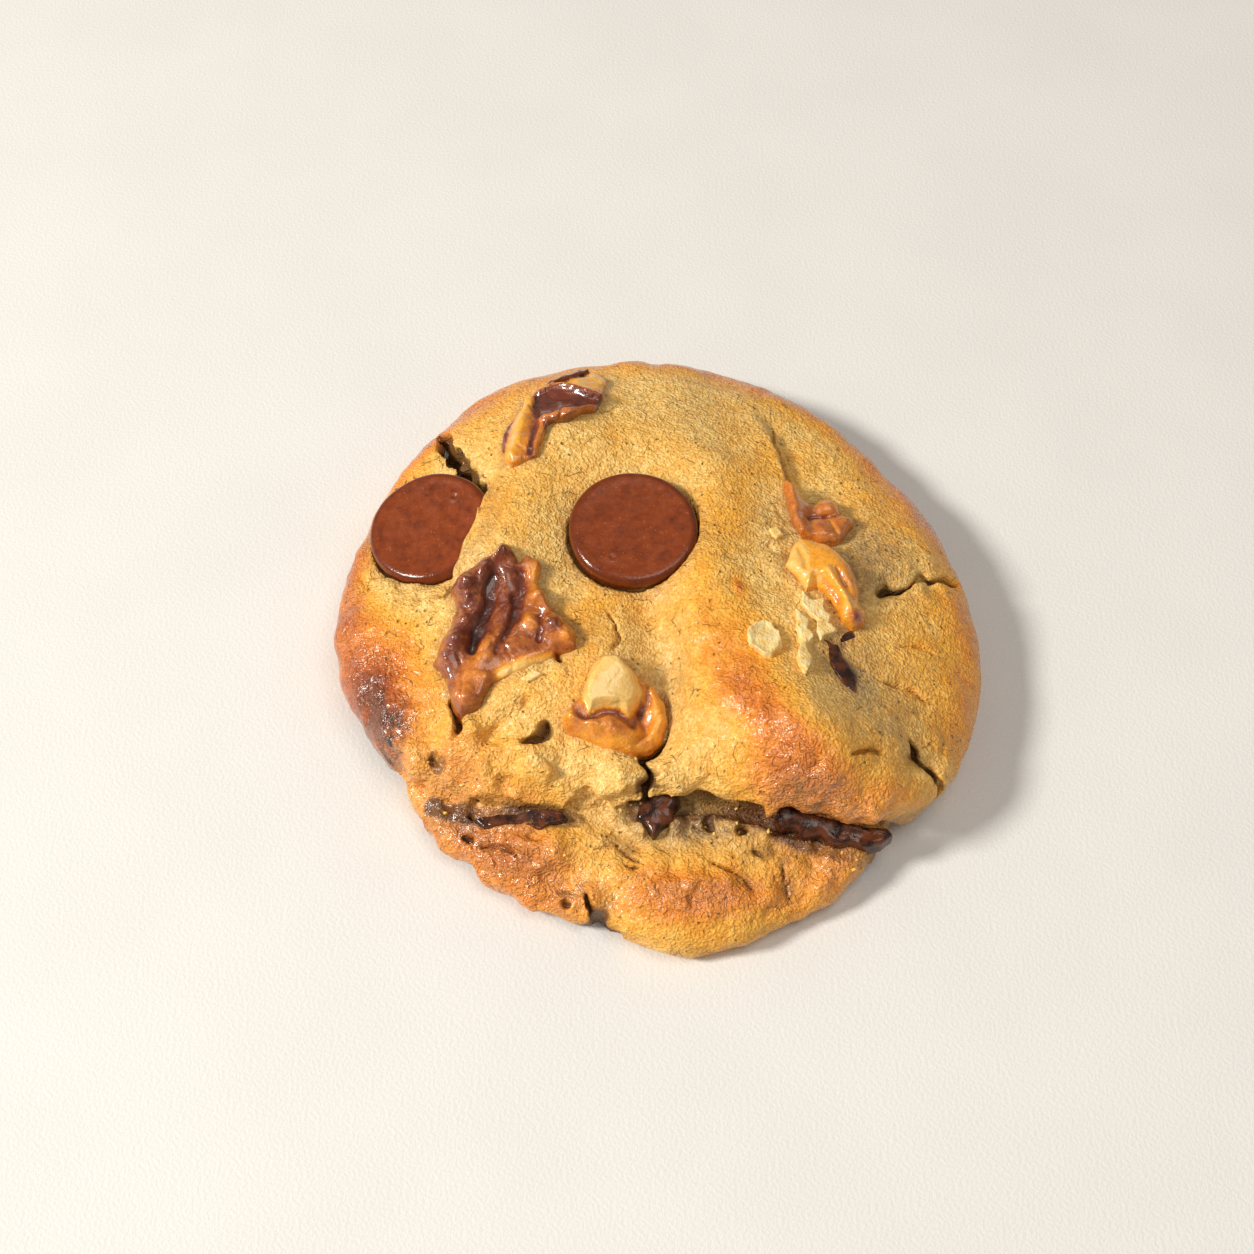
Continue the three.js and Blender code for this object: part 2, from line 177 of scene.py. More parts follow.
BROWNED = (
    (23.5, -38.0, 12, 5.5, -18, 0.52),
    (21.0, -38.5, 7, 4.0, -12, 0.22),
    (22.5, -31.5, 9, 5.0, -42, 0.28),
    (12.0, -12.0, 7, 12, 15, 0.28),
    (14.5, -22.5, 9, 4.5, -52, 0.32),
    (-1.0, -14.0, 6, 13, 0, -0.22),
    (-19.0, 6.0, 5, 9, 0, -0.16),
    (24.0, 4.0, 5, 15, 0, -0.16),
    (6.0, 42.0, 17, 9, 0, -0.14),
    (13.3, 0.2, 1.1, 2.4, 12, 0.55),
    (-27.0, -27.0, 14, 8, -8, 0.14),
    (13.5, 14.0, 5, 8, 0, 0.18),
    (-48.0, -14.0, 6.5, 10, -14, 0.66),
    (-45.0, -21.0, 4, 4, 0, 0.25),
    (-55.5, 12.0, 5, 17, 0, 0.30),
    (-29.0, -27.0, 11, 5.0, -6, 0.46),
    (-38.5, -19.0, 8, 6, 0, 0.22),
    (-33.0, -38.0, 12, 7, -35, 0.36),
    (-20.0, -44.0, 10, 6, -14, 0.30),
    (9.0, -51.0, 11, 5, 6, 0.58),
    (-3.0, -49.0, 8, 5, 0, 0.40),
    (27.0, -46.0, 9, 4, 24, 0.32),
    (-44.0, 42.0, 9, 7, 45, 0.30),
    # Partly painted shade: darker dough beside the fold at the back right.
    (23.0, 54.0, 14, 8, -35, 0.22),
    (45.0, 30.0, 8, 18, -15, 0.06),
    (50.0, -16.0, 7, 16, 10, 0.08),
)
# Chocolate stains on the upper lobe, and two painted shadows.
STAINED_AND_SHADED = (
    (9.5, 43.0, 11, 6, 0, 0.22),
    (37.0, 14.0, 7, 8, 0, 0.50),
    (38.0, 3.0, 6, 5, 0, 0.35),
    (20.0, 13.0, 4.5, 9, 0, 0.35),
    (31.0, -14.0, 12, 7, -62, 0.55),
    (31.0, -13.5, 6, 3, -75, 0.55),
    (36.5, 8.5, 5.5, 6.5, 0, 0.45),
    (40.0, -24.0, 9, 9, 0, 0.32),
    (-18.0, 4.0, 5, 5, 0, 0.22),
    (-2.0, -13.0, 6, 10, 0, 0.22),
    # Painted shadows on the dough to the right of the dark and the round walnut.
    (-14.0, -7.0, 6, 5, 0, 0.34),
    (2.4, -17.5, 2.4, 6, 0, 0.30),
)
SCORCHED = (
    (-45.4, -22.6, 2.2, 3.6, -8, 1.3),
    (-47.6, -17.0, 1.6, 2.0, 0, 0.45),
    (-43.6, -18.4, 1.0, 1.4, 0, 0.4),
)
# Chocolate stains on the lower lobe, made darker as painted shade under the lip.
LOWER_STAINED_AND_SHADED = (
    (1.0, -38.0, 8, 4.5, 0, 0.8),
    (22.0, -38.0, 20, 5, -3, 0.75),
    (7.0, -37.5, 7, 2.6, 0, 0.5),
    (-28.0, -36.0, 15, 3, -3, 0.55),
    (41.0, -33.0, 7, 6, 0, 0.55),
)

DISC_RADIUS = 11.3
DISC_THICK = 4.2
DISC_EDGE = 1.1
DISC_SIDES = 144
DISC_ROOM = 0.3
DISCS = {
    "disc_large": {"at": (-4.6, 13.1, 21.2), "tilt": (5, 0), "dimple": (-3.6, -6.2), "seed": 3},
    "disc_side": {"at": (-40.6, 17.8, 14.6), "tilt": (3, -13), "dimple": (4.6, 5.4), "seed": 4},
}

# How deep the toppings reach into the dough.
NUT_DEPTH = 2.0
FLAKE_DEPTH = 0.8
POOL_DEPTH = 2.4
STREAK_DEPTH = 1.2

# Walnut pieces: outline, height over the dough, width of the rounded edge, toast from 0 (cream) to 1 (dark),
# and how crumpled they are; this also paints shade, toasting their low places darker.
# A ridge has a path, half width, height and change of toast.
# A plate has an outline, edge width, height and toast.
WALNUTS = {
    "walnut_curl": {
        "outline": (
            (-28.6, 33.4), (-27.4, 37.5), (-25.3, 42.3), (-24.6, 45.6), (-21.6, 48.4), (-17.9, 50.8),
            (-14.2, 54.2), (-12.4, 52.8), (-9.4, 50.3), (-9.9, 43.6), (-11.4, 39.6), (-16.0, 36.7),
            (-19.6, 35.6), (-21.2, 30.8), (-21.6, 27.8), (-26.2, 26.6), (-28.0, 28.4),
        ),
        "rise": 1.7,
        "edge": 1.1,
        "toast": 0.45,
        "crumple_and_shade": 0.12,
        "ridges": (
            (((-26.9, 28.8), (-25.6, 33.8), (-24.4, 38.6), (-23.6, 43.4)), 1.5, 1.3, -0.12),
            (((-28.4, 31.0), (-28.0, 35.0), (-26.2, 40.0)), 0.5, 0.2, 0.45),
            (((-22.9, 28.0), (-22.3, 33.0), (-21.9, 38.0), (-22.4, 44.6)), 0.6, -0.5, 0.40),
            (((-22.2, 45.2), (-20.0, 46.6), (-17.3, 46.2), (-13.4, 44.0), (-10.3, 42.6)), 0.8, 1.1, 0.05),
            (((-21.4, 36.8), (-19.4, 36.4), (-16.2, 37.6), (-12.2, 39.6)), 1.0, 0.9, -0.14),
            (((-19.4, 41.6), (-13.4, 41.6)), 2.2, -1.0, 0.0),
        ),
        "plates": (
            (((-22.4, 44.8), (-20.0, 46.5), (-17.3, 46.1), (-13.4, 43.9), (-9.0, 42.7), (-9.6, 38.2),
              (-15.8, 34.8), (-20.4, 33.6), (-22.2, 39.0)), 0.6, 0.1, 0.80),
            (((-21.1, 47.1), (-17.3, 47.9), (-12.7, 51.9), (-9.4, 50.1), (-9.8, 46.0), (-13.4, 44.9),
              (-17.0, 46.7)), 0.5, 0.2, 0.20),
            (((-21.9, 47.6), (-19.2, 48.4), (-16.5, 50.8), (-14.0, 54.0), (-12.6, 52.2), (-15.7, 48.9),
              (-19.2, 46.9)), 0.5, 1.2, 0.92),
        ),
    },
    "walnut_dark": {
        "outline": (
            (-27.6, 9.2), (-25.9, 8.4), (-24.3, 5.6), (-22.9, 7.0), (-20.3, 5.8), (-20.4, 2.0),
            (-18.6, -1.6), (-16.9, -4.6), (-14.2, -7.8), (-14.5, -10.4), (-19.9, -12.9), (-26.4, -15.9),
            (-28.6, -17.6), (-30.2, -20.4), (-33.4, -22.6), (-35.4, -19.6), (-36.2, -15.6), (-38.6, -11.8),
            (-37.2, -6.8), (-35.0, -2.8), (-36.4, 1.4), (-34.4, 4.4), (-30.6, 7.2), (-28.6, 7.2),
        ),
        "rise": 1.9,
        "edge": 1.4,
        "toast": 0.68,
        "crumple_and_shade": 0.11,
        "ridges": (
            (((-27.0, 7.4), (-29.6, 4.6), (-33.2, 1.1), (-32.6, -4.0), (-34.0, -8.9), (-35.2, -12.6)), 2.0,
              1.0, 0.14),
            (((-33.6, 1.2),), 1.9, 2.3, 0.06),
            (((-33.2, -1.6),), 1.1, 0.9, 0.04),
            (((-34.8, -9.0),), 2.0, 2.2, 0.06),
            (((-33.2, -5.0),), 1.2, 0.8, 0.0),
            (((-27.4, 6.4),), 1.3, 1.5, 0.12),
            (((-30.1, 4.4),), 1.2, 1.2, 0.04),
            (((-36.4, -12.2),), 1.2, 1.0, 0.0),
            (((-28.8, 3.0), (-29.4, -2.0), (-30.6, -6.0), (-31.8, -10.4)), 1.0, -1.7, 0.24),
            (((-26.6, 4.4), (-26.4, -3.0), (-27.5, -8.0)), 1.2, 0.5, 0.10),
            (((-25.2, -1.0), (-25.6, -6.4), (-27.6, -11.4)), 0.6, -0.7, 0.14),
            (((-23.8, 3.4), (-23.8, -1.0), (-24.4, -5.0)), 0.9, -1.0, 0.10),
            (((-21.4, 4.4), (-21.2, 2.0)), 1.7, 0.2, -0.30),
            (((-21.0, -1.4),), 1.7, 1.8, -0.12),
            (((-19.6, -3.4),), 1.1, 0.6, -0.02),
            (((-22.2, -6.2),), 1.5, 1.3, -0.20),
            (((-18.4, -7.4),), 2.0, 2.5, 0.16),
            (((-15.8, -8.8),), 1.3, 1.3, -0.16),
            (((-20.4, -9.4), (-20.4, -5.0)), 0.5, -0.8, 0.06),
            (((-28.4, -9.8), (-31.2, -13.8), (-32.8, -19.0)), 1.9, 1.2, -0.08),
            (((-29.6, -16.4),), 1.3, 0.9, -0.02),
            (((-32.4, -20.0),), 1.2, 0.5, 0.04),
            (((-26.6, -15.2), (-22.8, -13.8), (-18.6, -12.4)), 1.2, -0.5, -0.75),
        ),
        "plates": (),
    },
    "walnut_round": {
        "outline": (
            (-9.8, -12.4), (-7.1, -12.2), (-3.8, -14.9), (-1.1, -16.9), (0.7, -19.7), (1.2, -23.0),
            (0.1, -25.8), (-2.4, -28.1), (-4.8, -29.0), (-8.2, -28.4), (-13.2, -26.3), (-15.8, -25.0),
            (-16.7, -23.4), (-15.6, -21.8), (-13.4, -19.4), (-12.1, -15.0),
        ),
        "rise": 2.5,
        "edge": 1.9,
        "toast": 0.47,
        "crumple_and_shade": 0.05,
        "ridges": (
            (((-15.4, -22.0), (-12.6, -24.0), (-9.4, -22.8), (-7.2, -22.4), (-5.2, -23.8), (-3.0, -21.2)),
              0.8, -0.8, 0.22),
            (((-15.2, -24.0), (-11.0, -25.4)), 1.5, 0.9, 0.06),
            (((-8.2, -25.2),), 1.8, 1.3, 0.08),
            (((-4.6, -26.0),), 1.6, 0.9, -0.04),
            (((-15.6, -23.4),), 1.2, 0.2, -0.22),
            (((-12.4, -26.2), (-8.2, -27.6), (-4.1, -27.8)), 1.1, -0.2, -0.14),
            (((-3.4, -22.4), (-3.0, -25.0), (-4.4, -27.4)), 0.5, -0.6, 0.06),
            (((-1.4, -18.4), (-0.4, -22.4), (-1.2, -25.4)), 1.6, 1.2, -0.08),
            (((-2.5, -17.2), (-2.0, -20.6)), 0.5, -0.6, 0.12),
        ),
        "plates": (
            (((-10.8, -13.2), (-7.2, -13.0), (-4.6, -15.8), (-3.3, -18.6), (-3.5, -20.8), (-5.4, -22.8),
              (-7.2, -21.6), (-9.6, -21.9), (-12.2, -23.0), (-13.4, -21.0), (-13.0, -17.0)), 1.2, 1.2,
              0.06),
        ),
    },
    "walnut_red": {
        "outline": (
            (22.4, 25.1), (25.3, 23.4), (27.5, 21.2), (28.4, 22.8), (30.4, 23.3), (32.3, 21.5),
            (32.5, 19.4), (34.7, 19.2), (34.8, 17.2), (32.8, 14.2), (31.2, 12.4), (28.3, 12.0),
            (24.6, 12.9), (23.2, 16.0), (22.4, 19.8),
        ),
        "rise": 2.1,
        "edge": 1.4,
        "toast": 0.56,
        "crumple_and_shade": 0.06,
        "ridges": (
            (((30.2, 20.4),), 2.0, 1.6, 0.02),
            (((28.9, 15.4),), 2.4, 1.3, 0.04),
            (((32.8, 17.0),), 1.7, 0.9, 0.0),
            (((23.4, 24.0), (26.0, 20.0)), 1.5, 0.7, -0.04),
            (((29.8, 18.2), (26.8, 17.6)), 0.5, -0.5, 0.14),
            (((29.8, 18.2), (33.8, 19.0)), 0.5, -0.4, 0.10),
            (((29.8, 18.2), (31.2, 13.8)), 0.45, -0.4, -0.16),
        ),
        "plates": (),
    },
    "walnut_golden": {
        "outline": (
            (26.4, 11.7), (28.9, 10.8), (31.5, 8.8), (33.5, 6.1), (34.4, 2.8), (34.2, -1.5), (34.9, -3.4),
            (34.6, -5.6), (32.6, -6.9), (30.8, -6.0), (29.9, -3.6), (28.3, 0.4), (26.8, 1.2), (24.9, 0.0),
            (24.1, 1.9), (21.4, 5.3), (22.4, 8.0), (24.2, 11.0),
        ),
        "rise": 2.5,
        "edge": 1.8,
        "toast": 0.31,
        "crumple_and_shade": 0.05,
        "ridges": (
            (((28.6, 7.6), (30.4, 4.0)), 3.2, 1.0, 0.04),
            (((28.8, 3.4), (30.6, -0.4), (32.0, -3.6)), 0.8, 0.9, -0.10),
            (((32.6, 4.4), (33.2, 0.0)), 1.4, 0.4, 0.14),
            (((33.2, -5.2),), 1.4, 0.5, 0.42),
            (((31.6, 0.8), (30.6, 3.6)), 0.45, -0.5, 0.10),
            (((30.0, -2.2), (28.8, 0.8), (27.0, 2.4)), 0.8, -0.7, 0.10),
            (((24.0, 8.6), (25.0, 4.2)), 0.5, -0.3, 0.08),
        ),
        "plates": (
            (((24.2, 11.0), (25.8, 8.4), (25.4, 5.2), (27.4, 3.0), (28.3, 0.6), (26.8, 1.2), (24.9, 0.0),
              (24.1, 1.9), (21.4, 5.3), (22.4, 8.0)), 0.9, 0.1, 0.10),
        ),
    },
}
# Melted chocolate: outline, height and how far it slopes up towards the back.
MELTED = {
    "chocolate_lip": (
        ((19.6, -35.8), (23.4, -36.4), (27.0, -37.2), (30.6, -38.0), (34.2, -38.5), (37.4, -38.8),
         (38.2, -39.8), (36.4, -41.2), (33.6, -41.9), (31.2, -40.9), (28.6, -41.5), (26.0, -39.8),
         (23.6, -40.6), (21.6, -38.9), (19.8, -39.4), (18.6, -37.4)),
        1.1,
        0.35,
    ),
    "chocolate_front": (
        ((-3.6, -35.4), (-1.4, -33.2), (1.0, -32.6), (3.0, -34.4), (1.8, -36.0), (2.0, -38.0), (0.2, -38.8),
         (-1.3, -40.6), (-2.6, -38.6), (-4.2, -37.6)),
        1.0,
        0.15,
    ),
    "chocolate_left": (
        ((-31.0, -36.6), (-27.0, -36.2), (-24.0, -36.4), (-20.6, -35.6), (-16.8, -36.0), (-15.6, -37.4),
         (-18.8, -37.9), (-20.2, -38.9), (-22.8, -38.0), (-26.0, -37.6), (-29.5, -37.9)),
        0.05,
        0.0,
    ),
}
# Thin pieces that lie on the dough: outline and height.
FLAKES = {
    "nut_chip": (
        ((16.0, -7.7), (17.7, -7.3), (20.1, -9.2), (20.0, -12.0), (18.3, -14.7), (17.0, -14.9),
         (14.4, -12.7), (14.3, -10.1)),
        1.2,
    ),
    "nut_flake_left": (
        ((22.9, -4.5), (25.1, -6.2), (24.6, -8.1), (25.5, -9.7), (24.3, -11.8), (25.2, -14.6),
         (24.0, -17.7), (22.9, -16.1), (22.3, -14.1), (23.3, -11.3), (22.4, -7.6)),
        1.4,
    ),
    "nut_flake_right": (
        ((24.3, -0.4), (25.9, -1.8), (28.2, -1.2), (27.6, -3.6), (28.9, -4.9), (28.4, -6.6), (30.2, -7.6),
         (28.0, -8.9), (26.9, -10.0), (25.8, -8.6), (26.8, -6.5), (25.0, -4.9), (24.1, -3.1)),
        1.4,
    ),
    "nut_grain": (((19.0, 13.6), (20.8, 14.8), (21.8, 12.6), (20.4, 11.2)), 0.9),
    "nut_sliver": (((-23.6, -16.4), (-21.4, -14.6), (-19.8, -15.4), (-21.8, -17.0)), 0.9),
}
# The outline of the streak of chocolate at the right of the top.
STREAK = (
    (27.0, -9.4), (29.6, -8.6), (32.4, -7.0), (33.0, -8.0), (30.0, -10.0), (30.4, -12.4), (32.4, -15.8),
    (32.2, -19.6), (30.2, -18.0), (28.6, -14.0), (28.4, -11.0),
)

# The photograph's view. How steeply it looks down, in degrees, is an estimate.
VIEW_FROM = (-5.7, -177.2, 294.2)
VIEW_DOWN = 58.0
LENS = 54.5
SENSOR = 36.0

# The stage, in metres.
FLOOR_REACH = 3.0


# Shapes in plan

def smooth(t):
    """Eases from 0 to 1."""
    t = np.clip(t, 0.0, 1.0)
    return t * t * (3 - 2 * t)


def radius_at(radii, angle):
    """Radius of a closed outline through evenly spaced radii."""
    radii = np.array(radii)
    count = len(radii)
    t = (angle / (2 * np.pi) * count) % count
    i = np.floor(t).astype(int)
    f = t - i
    a, b, c, d = (radii[(i + k) % count] for k in (-1, 0, 1, 2))
    return b + 0.5 * f * (c - a + f * (2 * a - 5 * b + 4 * c - d + f * (3 * (b - c) + d - a)))


def from_path(x, y, path):
    """Distance from a path, positive on its left, and the share of its length passed."""
    near = np.full(np.broadcast(x, y).shape, np.inf)
    off = near.copy()
    share = np.zeros_like(near)
    done = 0.0
    for (ax, ay), (bx, by) in zip(path, path[1:]):
        dx, dy = bx - ax, by - ay
        length = np.hypot(dx, dy)
        t = np.clip(((x - ax) * dx + (y - ay) * dy) / length**2, 0, 1)
        distance = np.hypot(x - ax - t * dx, y - ay - t * dy)
        side = np.where(dx * (y - ay) - dy * (x - ax) < 0, -1, 1)
        closer = distance < near
        near = np.where(closer, distance, near)
        off = np.where(closer, distance * side, off)
        share = np.where(closer, done + t * length, share)
        done += length
    return off, share / done


def inside(x, y, outline):
    """Distance from a closed outline, positive inside it."""
    away = np.abs(from_path(x, y, (*outline, outline[0]))[0])
    odd = np.zeros(away.shape, bool)
    for (ax, ay), (bx, by) in zip(outline, (*outline[1:], outline[0])):
        spans = (y < ay) != (y < by)
        odd ^= spans & (x < (bx - ax) * (y - ay) / ((by - ay) or 1e-9) + ax)
    return np.where(odd, away, -away)


def near_path(x, y, path):
    """Distance from a path, or from a single point."""
    if len(path) == 1:
        return np.hypot(x - path[0][0], y - path[0][1])
    return np.abs(from_path(x, y, path)[0])


def between(angle, low, high, soft, soft_after=None):
    """1 between two angles in degrees, easing to 0 beside them."""
    a = np.degrees(angle) % 360
    return smooth((a - low % 360) / soft + 1) * smooth((high % 360 - a) / (soft_after or soft) + 1)


def patches(x, y, rows):
    """Sum of soft patches."""
    total = np.zeros(np.broadcast(x, y).shape)
    for px, py, along, across, turn, amount in rows:
        c, s = np.cos(np.radians(turn)), np.sin(np.radians(turn))
        u = ((x - px) * c + (y - py) * s) / along
        v = ((y - py) * c - (x - px) * s) / across
        total += amount * np.exp(-(u**2) - v**2)
    return total


def on_lip(angle):
    return between(angle, *LIP_ANGLES, 14, 26)


def on_left_lip(angle):
    return between(angle, *LEFT_LIP_ANGLES, 12)


def rim_height(angle):
    return RIM + (LIP_RIM - RIM) * on_lip(angle) + (LEFT_LIP_RIM - RIM) * on_left_lip(angle)


def upper_bluntness(angle):
    """How square the upper lobe's edge is. 2 would be round."""
    return 3 + 4 * on_lip(angle) + 1.5 * on_left_lip(angle)


def dome_height(x, y):
    """Height of the dome before it rounds down to the rim."""
    z = np.full(np.broadcast(x, y).shape, PLATEAU)
    for path, width, height in SWELLS:
        z = z + height * np.exp(-((from_path(x, y, path)[0] / width) ** 2))
    u, v = (x - SHELF_MIDDLE[0]) / SHELF_REACH, (y - SHELF_MIDDLE[1]) / SHELF_REACH
    shelf = np.exp(-(u**4) - v**4)
    z = z - FLAP_DROP * shelf * smooth(0.5 - from_path(x, y, FLAP)[0] / FLAP_SOFT)
    off, share = from_path(x, y, FOLD)
    fade = np.exp(-((np.maximum(off - FOLD_SOFT, 0) / FOLD_REACH) ** 2))
    ends = smooth(share / 0.3) * smooth((1 - share) / 0.3)
    return z - FOLD_DROP * fade * ends * smooth(0.5 + off / FOLD_SOFT)


def upper_top(x, y):
    """Height of the upper lobe's surface."""
    angle = np.arctan2(y, x)
    rho = np.minimum(np.hypot(x, y) / radius_at(UPPER_RADII, angle), 1)
    rim = rim_height(angle)
    return rim + (dome_height(x, y) - rim) * np.sqrt(1 - rho ** upper_bluntness(angle))


def lower_height(x, y):
    z = np.full(np.broadcast(x, y).shape, LOWER_HEIGHT)
    for px, py, along, across, height in LOWER_BUMPS:
        z = z + height * np.exp(-(((x - px) / along) ** 2) - ((y - py) / across) ** 2)
    return z


def lower_top(x, y):
    """Height of the lower lobe's surface."""
    u, v = x - LOWER_CENTRE[0], y - LOWER_CENTRE[1]
    rho = np.minimum(np.hypot(u, v) / radius_at(LOWER_RADII, np.arctan2(v, u)), 1)
    return LOWER_RIM + (lower_height(x, y) - LOWER_RIM) * np.sqrt(1 - rho**4)


def top_of_dough(x, y):
    """Height of whichever lobe shows from above."""
    rho = np.hypot(x, y) / radius_at(UPPER_RADII, np.arctan2(y, x))
    return np.where(rho < 0.97, upper_top(x, y), lower_top(x, y))


def under_lip(x, y):
    """Where melted chocolate lies: on the lower lobe, or held up by the lip where that falls away."""
    return np.maximum(lower_top(x, y), LIP_UNDERSIDE)


# Fields and their surfaces

class Block:
    """A block of space cut into cubes."""

    def __init__(self, low, high, cube):
        self.low = np.array(low, float)
        self.cube = cube
        counts = np.ceil((np.array(high, float) - self.low) / cube).astype(int) + 1
        self.lines = [start + cube * np.arange(n) for start, n in zip(self.low, counts)]
        self.x = self.lines[0][:, None, None]
        self.y = self.lines[1][None, :, None]
        self.z = self.lines[2][None, None, :]

    def lumps(self, size, seed):
        """Smooth random lumps about size apart, mostly within -1 to 1."""
        random = np.random.default_rng(seed)
        weights = []
        for line in self.lines:
            t = (line - line[0]) / size
            i = t.astype(int)
            f = t - i
            row = np.zeros((len(line), i[-1] + 4))
            shares = ((1 - f) ** 3, 3 * f**3 - 6 * f**2 + 4, -3 * f**3 + 3 * f**2 + 3 * f + 1, f**3)
            for k, share in enumerate(shares):
                row[np.arange(len(line)), i + k] += share / 6
            weights.append(row.astype(np.float32))
        made = random.uniform(-2.6, 2.6, [w.shape[1] for w in weights]).astype(np.float32)
        for axis, w in enumerate(weights):
            made = np.moveaxis(np.tensordot(w, made, axes=(1, axis)), 0, axis)
        return made


def evened(field, cube, limit=4.0):
    """A field rescaled so that near its surface it gives the distance from it."""
    slopes = np.gradient(field, cube)
    steep = np.sqrt(sum(s * s for s in slopes))
    return np.clip(field / np.maximum(steep, 1e-3), -limit, limit).astype(np.float32)


def joined(a, b, soft):
    """The union of two fields, rounded where they meet."""
    mix = np.clip(0.5 + 0.5 * (a - b) / soft, 0, 1)
    return b + (a - b) * mix + soft * mix * (1 - mix)


def surface_of(field, block):
    """Points and quads of the surface where the field is zero."""
    inside = field > 0
    cells = tuple(n - 1 for n in field.shape)
    corners = [(i, j, k) for i in (0, 1) for j in (0, 1) for k in (0, 1)]

    def at(array, corner):
        return array[tuple(slice(c, c + n) for c, n in zip(corner, cells))]

    number_inside = sum(at(inside, c).astype(np.int8) for c in corners)
    crossed = (number_inside > 0) & (number_inside < 8)
    places = np.argwhere(crossed).astype(float)
    values = {c: at(field, c)[crossed].astype(float) for c in corners}
    total = np.zeros_like(places)
    number = np.zeros(len(places))
    for a in corners:
        for axis in range(3):
            if a[axis]:
                continue
            b = tuple(1 if i == axis else c for i, c in enumerate(a))
            cut = (values[a] > 0) != (values[b] > 0)
            step = values[a] / np.where(cut, values[a] - values[b], 1)
            point = np.tile(np.array(a, float), (len(places), 1))
            point[:, axis] = step
            total += point * cut[:, None]
            number += cut
    points = block.low + block.cube * (places + total / number[:, None])
    index = np.full(cells, -1)
    index[crossed] = np.arange(len(places))
    quads = []
    for axis in range(3):
        u, v = np.eye(3, dtype=int)[[(axis + 1) % 3, (axis + 2) % 3]]
        along = np.eye(3, dtype=int)[axis]
        first = inside[tuple(slice(0, -1) if a else slice(1, -1) for a in along)]
        second = inside[tuple(slice(1, None) if a else slice(1, -1) for a in along)]
        for out in (True, False):
            edge = np.argwhere(first & ~second if out else second & ~first) + 1 - along
            ring = [index[tuple((edge - s).T)] for s in (u + v, v, 0 * u, u)]
            quads.append(np.stack(ring if out else ring[::-1], axis=1))
    return points, np.concatenate(quads)


def largest_only(points, quads):
    """The largest connected part of a surface."""
    label = np.arange(len(points))
    while True:
        lowest = label[quads].min(axis=1)
        new = label.copy()
        for column in range(4):
            np.minimum.at(new, quads[:, column], lowest)
        new = new[new]
        if np.array_equal(new, label):
            break
        label = new
    names, counts = np.unique(label, return_counts=True)
    kept = label == names[counts.argmax()]
    renumbered = np.cumsum(kept) - 1
    return points[kept], renumbered[quads[kept[quads[:, 0]]]]


def relaxed(points, quads, share, times):
    """Points moved part of the way to the middle of their neighbours."""
    ends = np.concatenate([quads, quads[:, ::-1]])
    a = ends.ravel()
    b = np.roll(ends, 1, axis=1).ravel()
    number = np.bincount(a, minlength=len(points))[:, None]
    for _ in range(times):
        middle = np.stack([np.bincount(a, points[b, i], len(points)) for i in range(3)], axis=1) / number
        points = points + share * (middle - points)
    return points


# Meshes

def mesh_object(name, points, faces, material, masks=None):
    """A smooth object from points in millimetres, with its masks as attributes."""
    mesh = bpy.data.meshes.new(name)
    mesh.from_pydata(((points - FOOTPRINT_MIDDLE) * MM).tolist(), [], faces)
    smooth_faces(mesh)
    mesh.materials.append(material)
    made = bpy.data.objects.new(name, mesh)
    set_masks(made, masks or {})
    bpy.context.scene.collection.objects.link(made)
    return made


def smooth_faces(mesh):
    mesh.polygons.foreach_set("use_smooth", np.ones(len(mesh.polygons), bool))


def close_base(made):
    """One flat face in place of the many small ones under the base."""
    flat = bmesh.new()
    flat.from_mesh(made.data)
    under = [f for f in flat.faces if all(v.co.z < 1e-6 for v in f.verts)]
    bmesh.ops.delete(flat, geom=under, context="FACES")
    bmesh.ops.holes_fill(flat, edges=[e for e in flat.edges if e.is_boundary])
    flat.to_mesh(made.data)
    flat.free()


def thinned(made, most):
    """Fewer triangles, kept where the surface bends most."""
    count = sum(len(face.vertices) - 2 for face in made.data.polygons)
    modifier = made.modifiers.new("Thinned", "DECIMATE")
    modifier.ratio = min(1.0, most / count)
    mesh = bpy.data.meshes.new_from_object(made.evaluated_get(bpy.context.evaluated_depsgraph_get()))
    made.modifiers.clear()
    made.data = mesh
    mesh.name = made.name
    smooth_faces(mesh)


def points_of(made):
    """A mesh's points in the coordinates used here."""
    flat = np.empty(len(made.data.vertices) * 3)
    made.data.vertices.foreach_get("co", flat)
    return flat.reshape(-1, 3) / MM + FOOTPRINT_MIDDLE


def set_masks(made, masks):
    for key, values in masks.items():
        made.data.attributes.new(key, "FLOAT", "POINT").data.foreach_set("value", values.astype(np.float32))


def dress(made, node):
    """A piece rides on the cookie and stands for its CAD node."""
    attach(made, "root")
    if node:
        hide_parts(node)


# The dough

def lobe_field(block, radii, centre, rim, height, blunt):
    """A lobe of dough, rounded over its rim and tucked under at the base."""
    x = block.x[:, :, 0] - centre[0]
    y = block.y[:, :, 0] - centre[1]
    radius = radius_at(radii, np.arctan2(y, x))
    rho = np.hypot(x, y) / radius
    calm = smooth((rho - 0.3) / 0.3)
    rim = np.broadcast_to(rim, rho.shape)
    rim = np.minimum(rim.min() + (rim - rim.min()) * calm, height - 1.5)
    blunt = 3 + (blunt - 3) * calm
    rho, radius, rim, height, blunt = (a[:, :, None] for a in (rho, radius, rim, height, blunt))
    up = np.maximum(block.z - rim, 0) / (height - rim)
    over = evened(1 - rho**blunt - up**2, block.cube)
    tuck = np.clip((rim - block.z) / rim, 0, 1)
    allowed = 1 - EDGE_ROUND * (1 - np.sqrt(1 - tuck**2))
    return np.minimum(over, (allowed - rho) * radius)


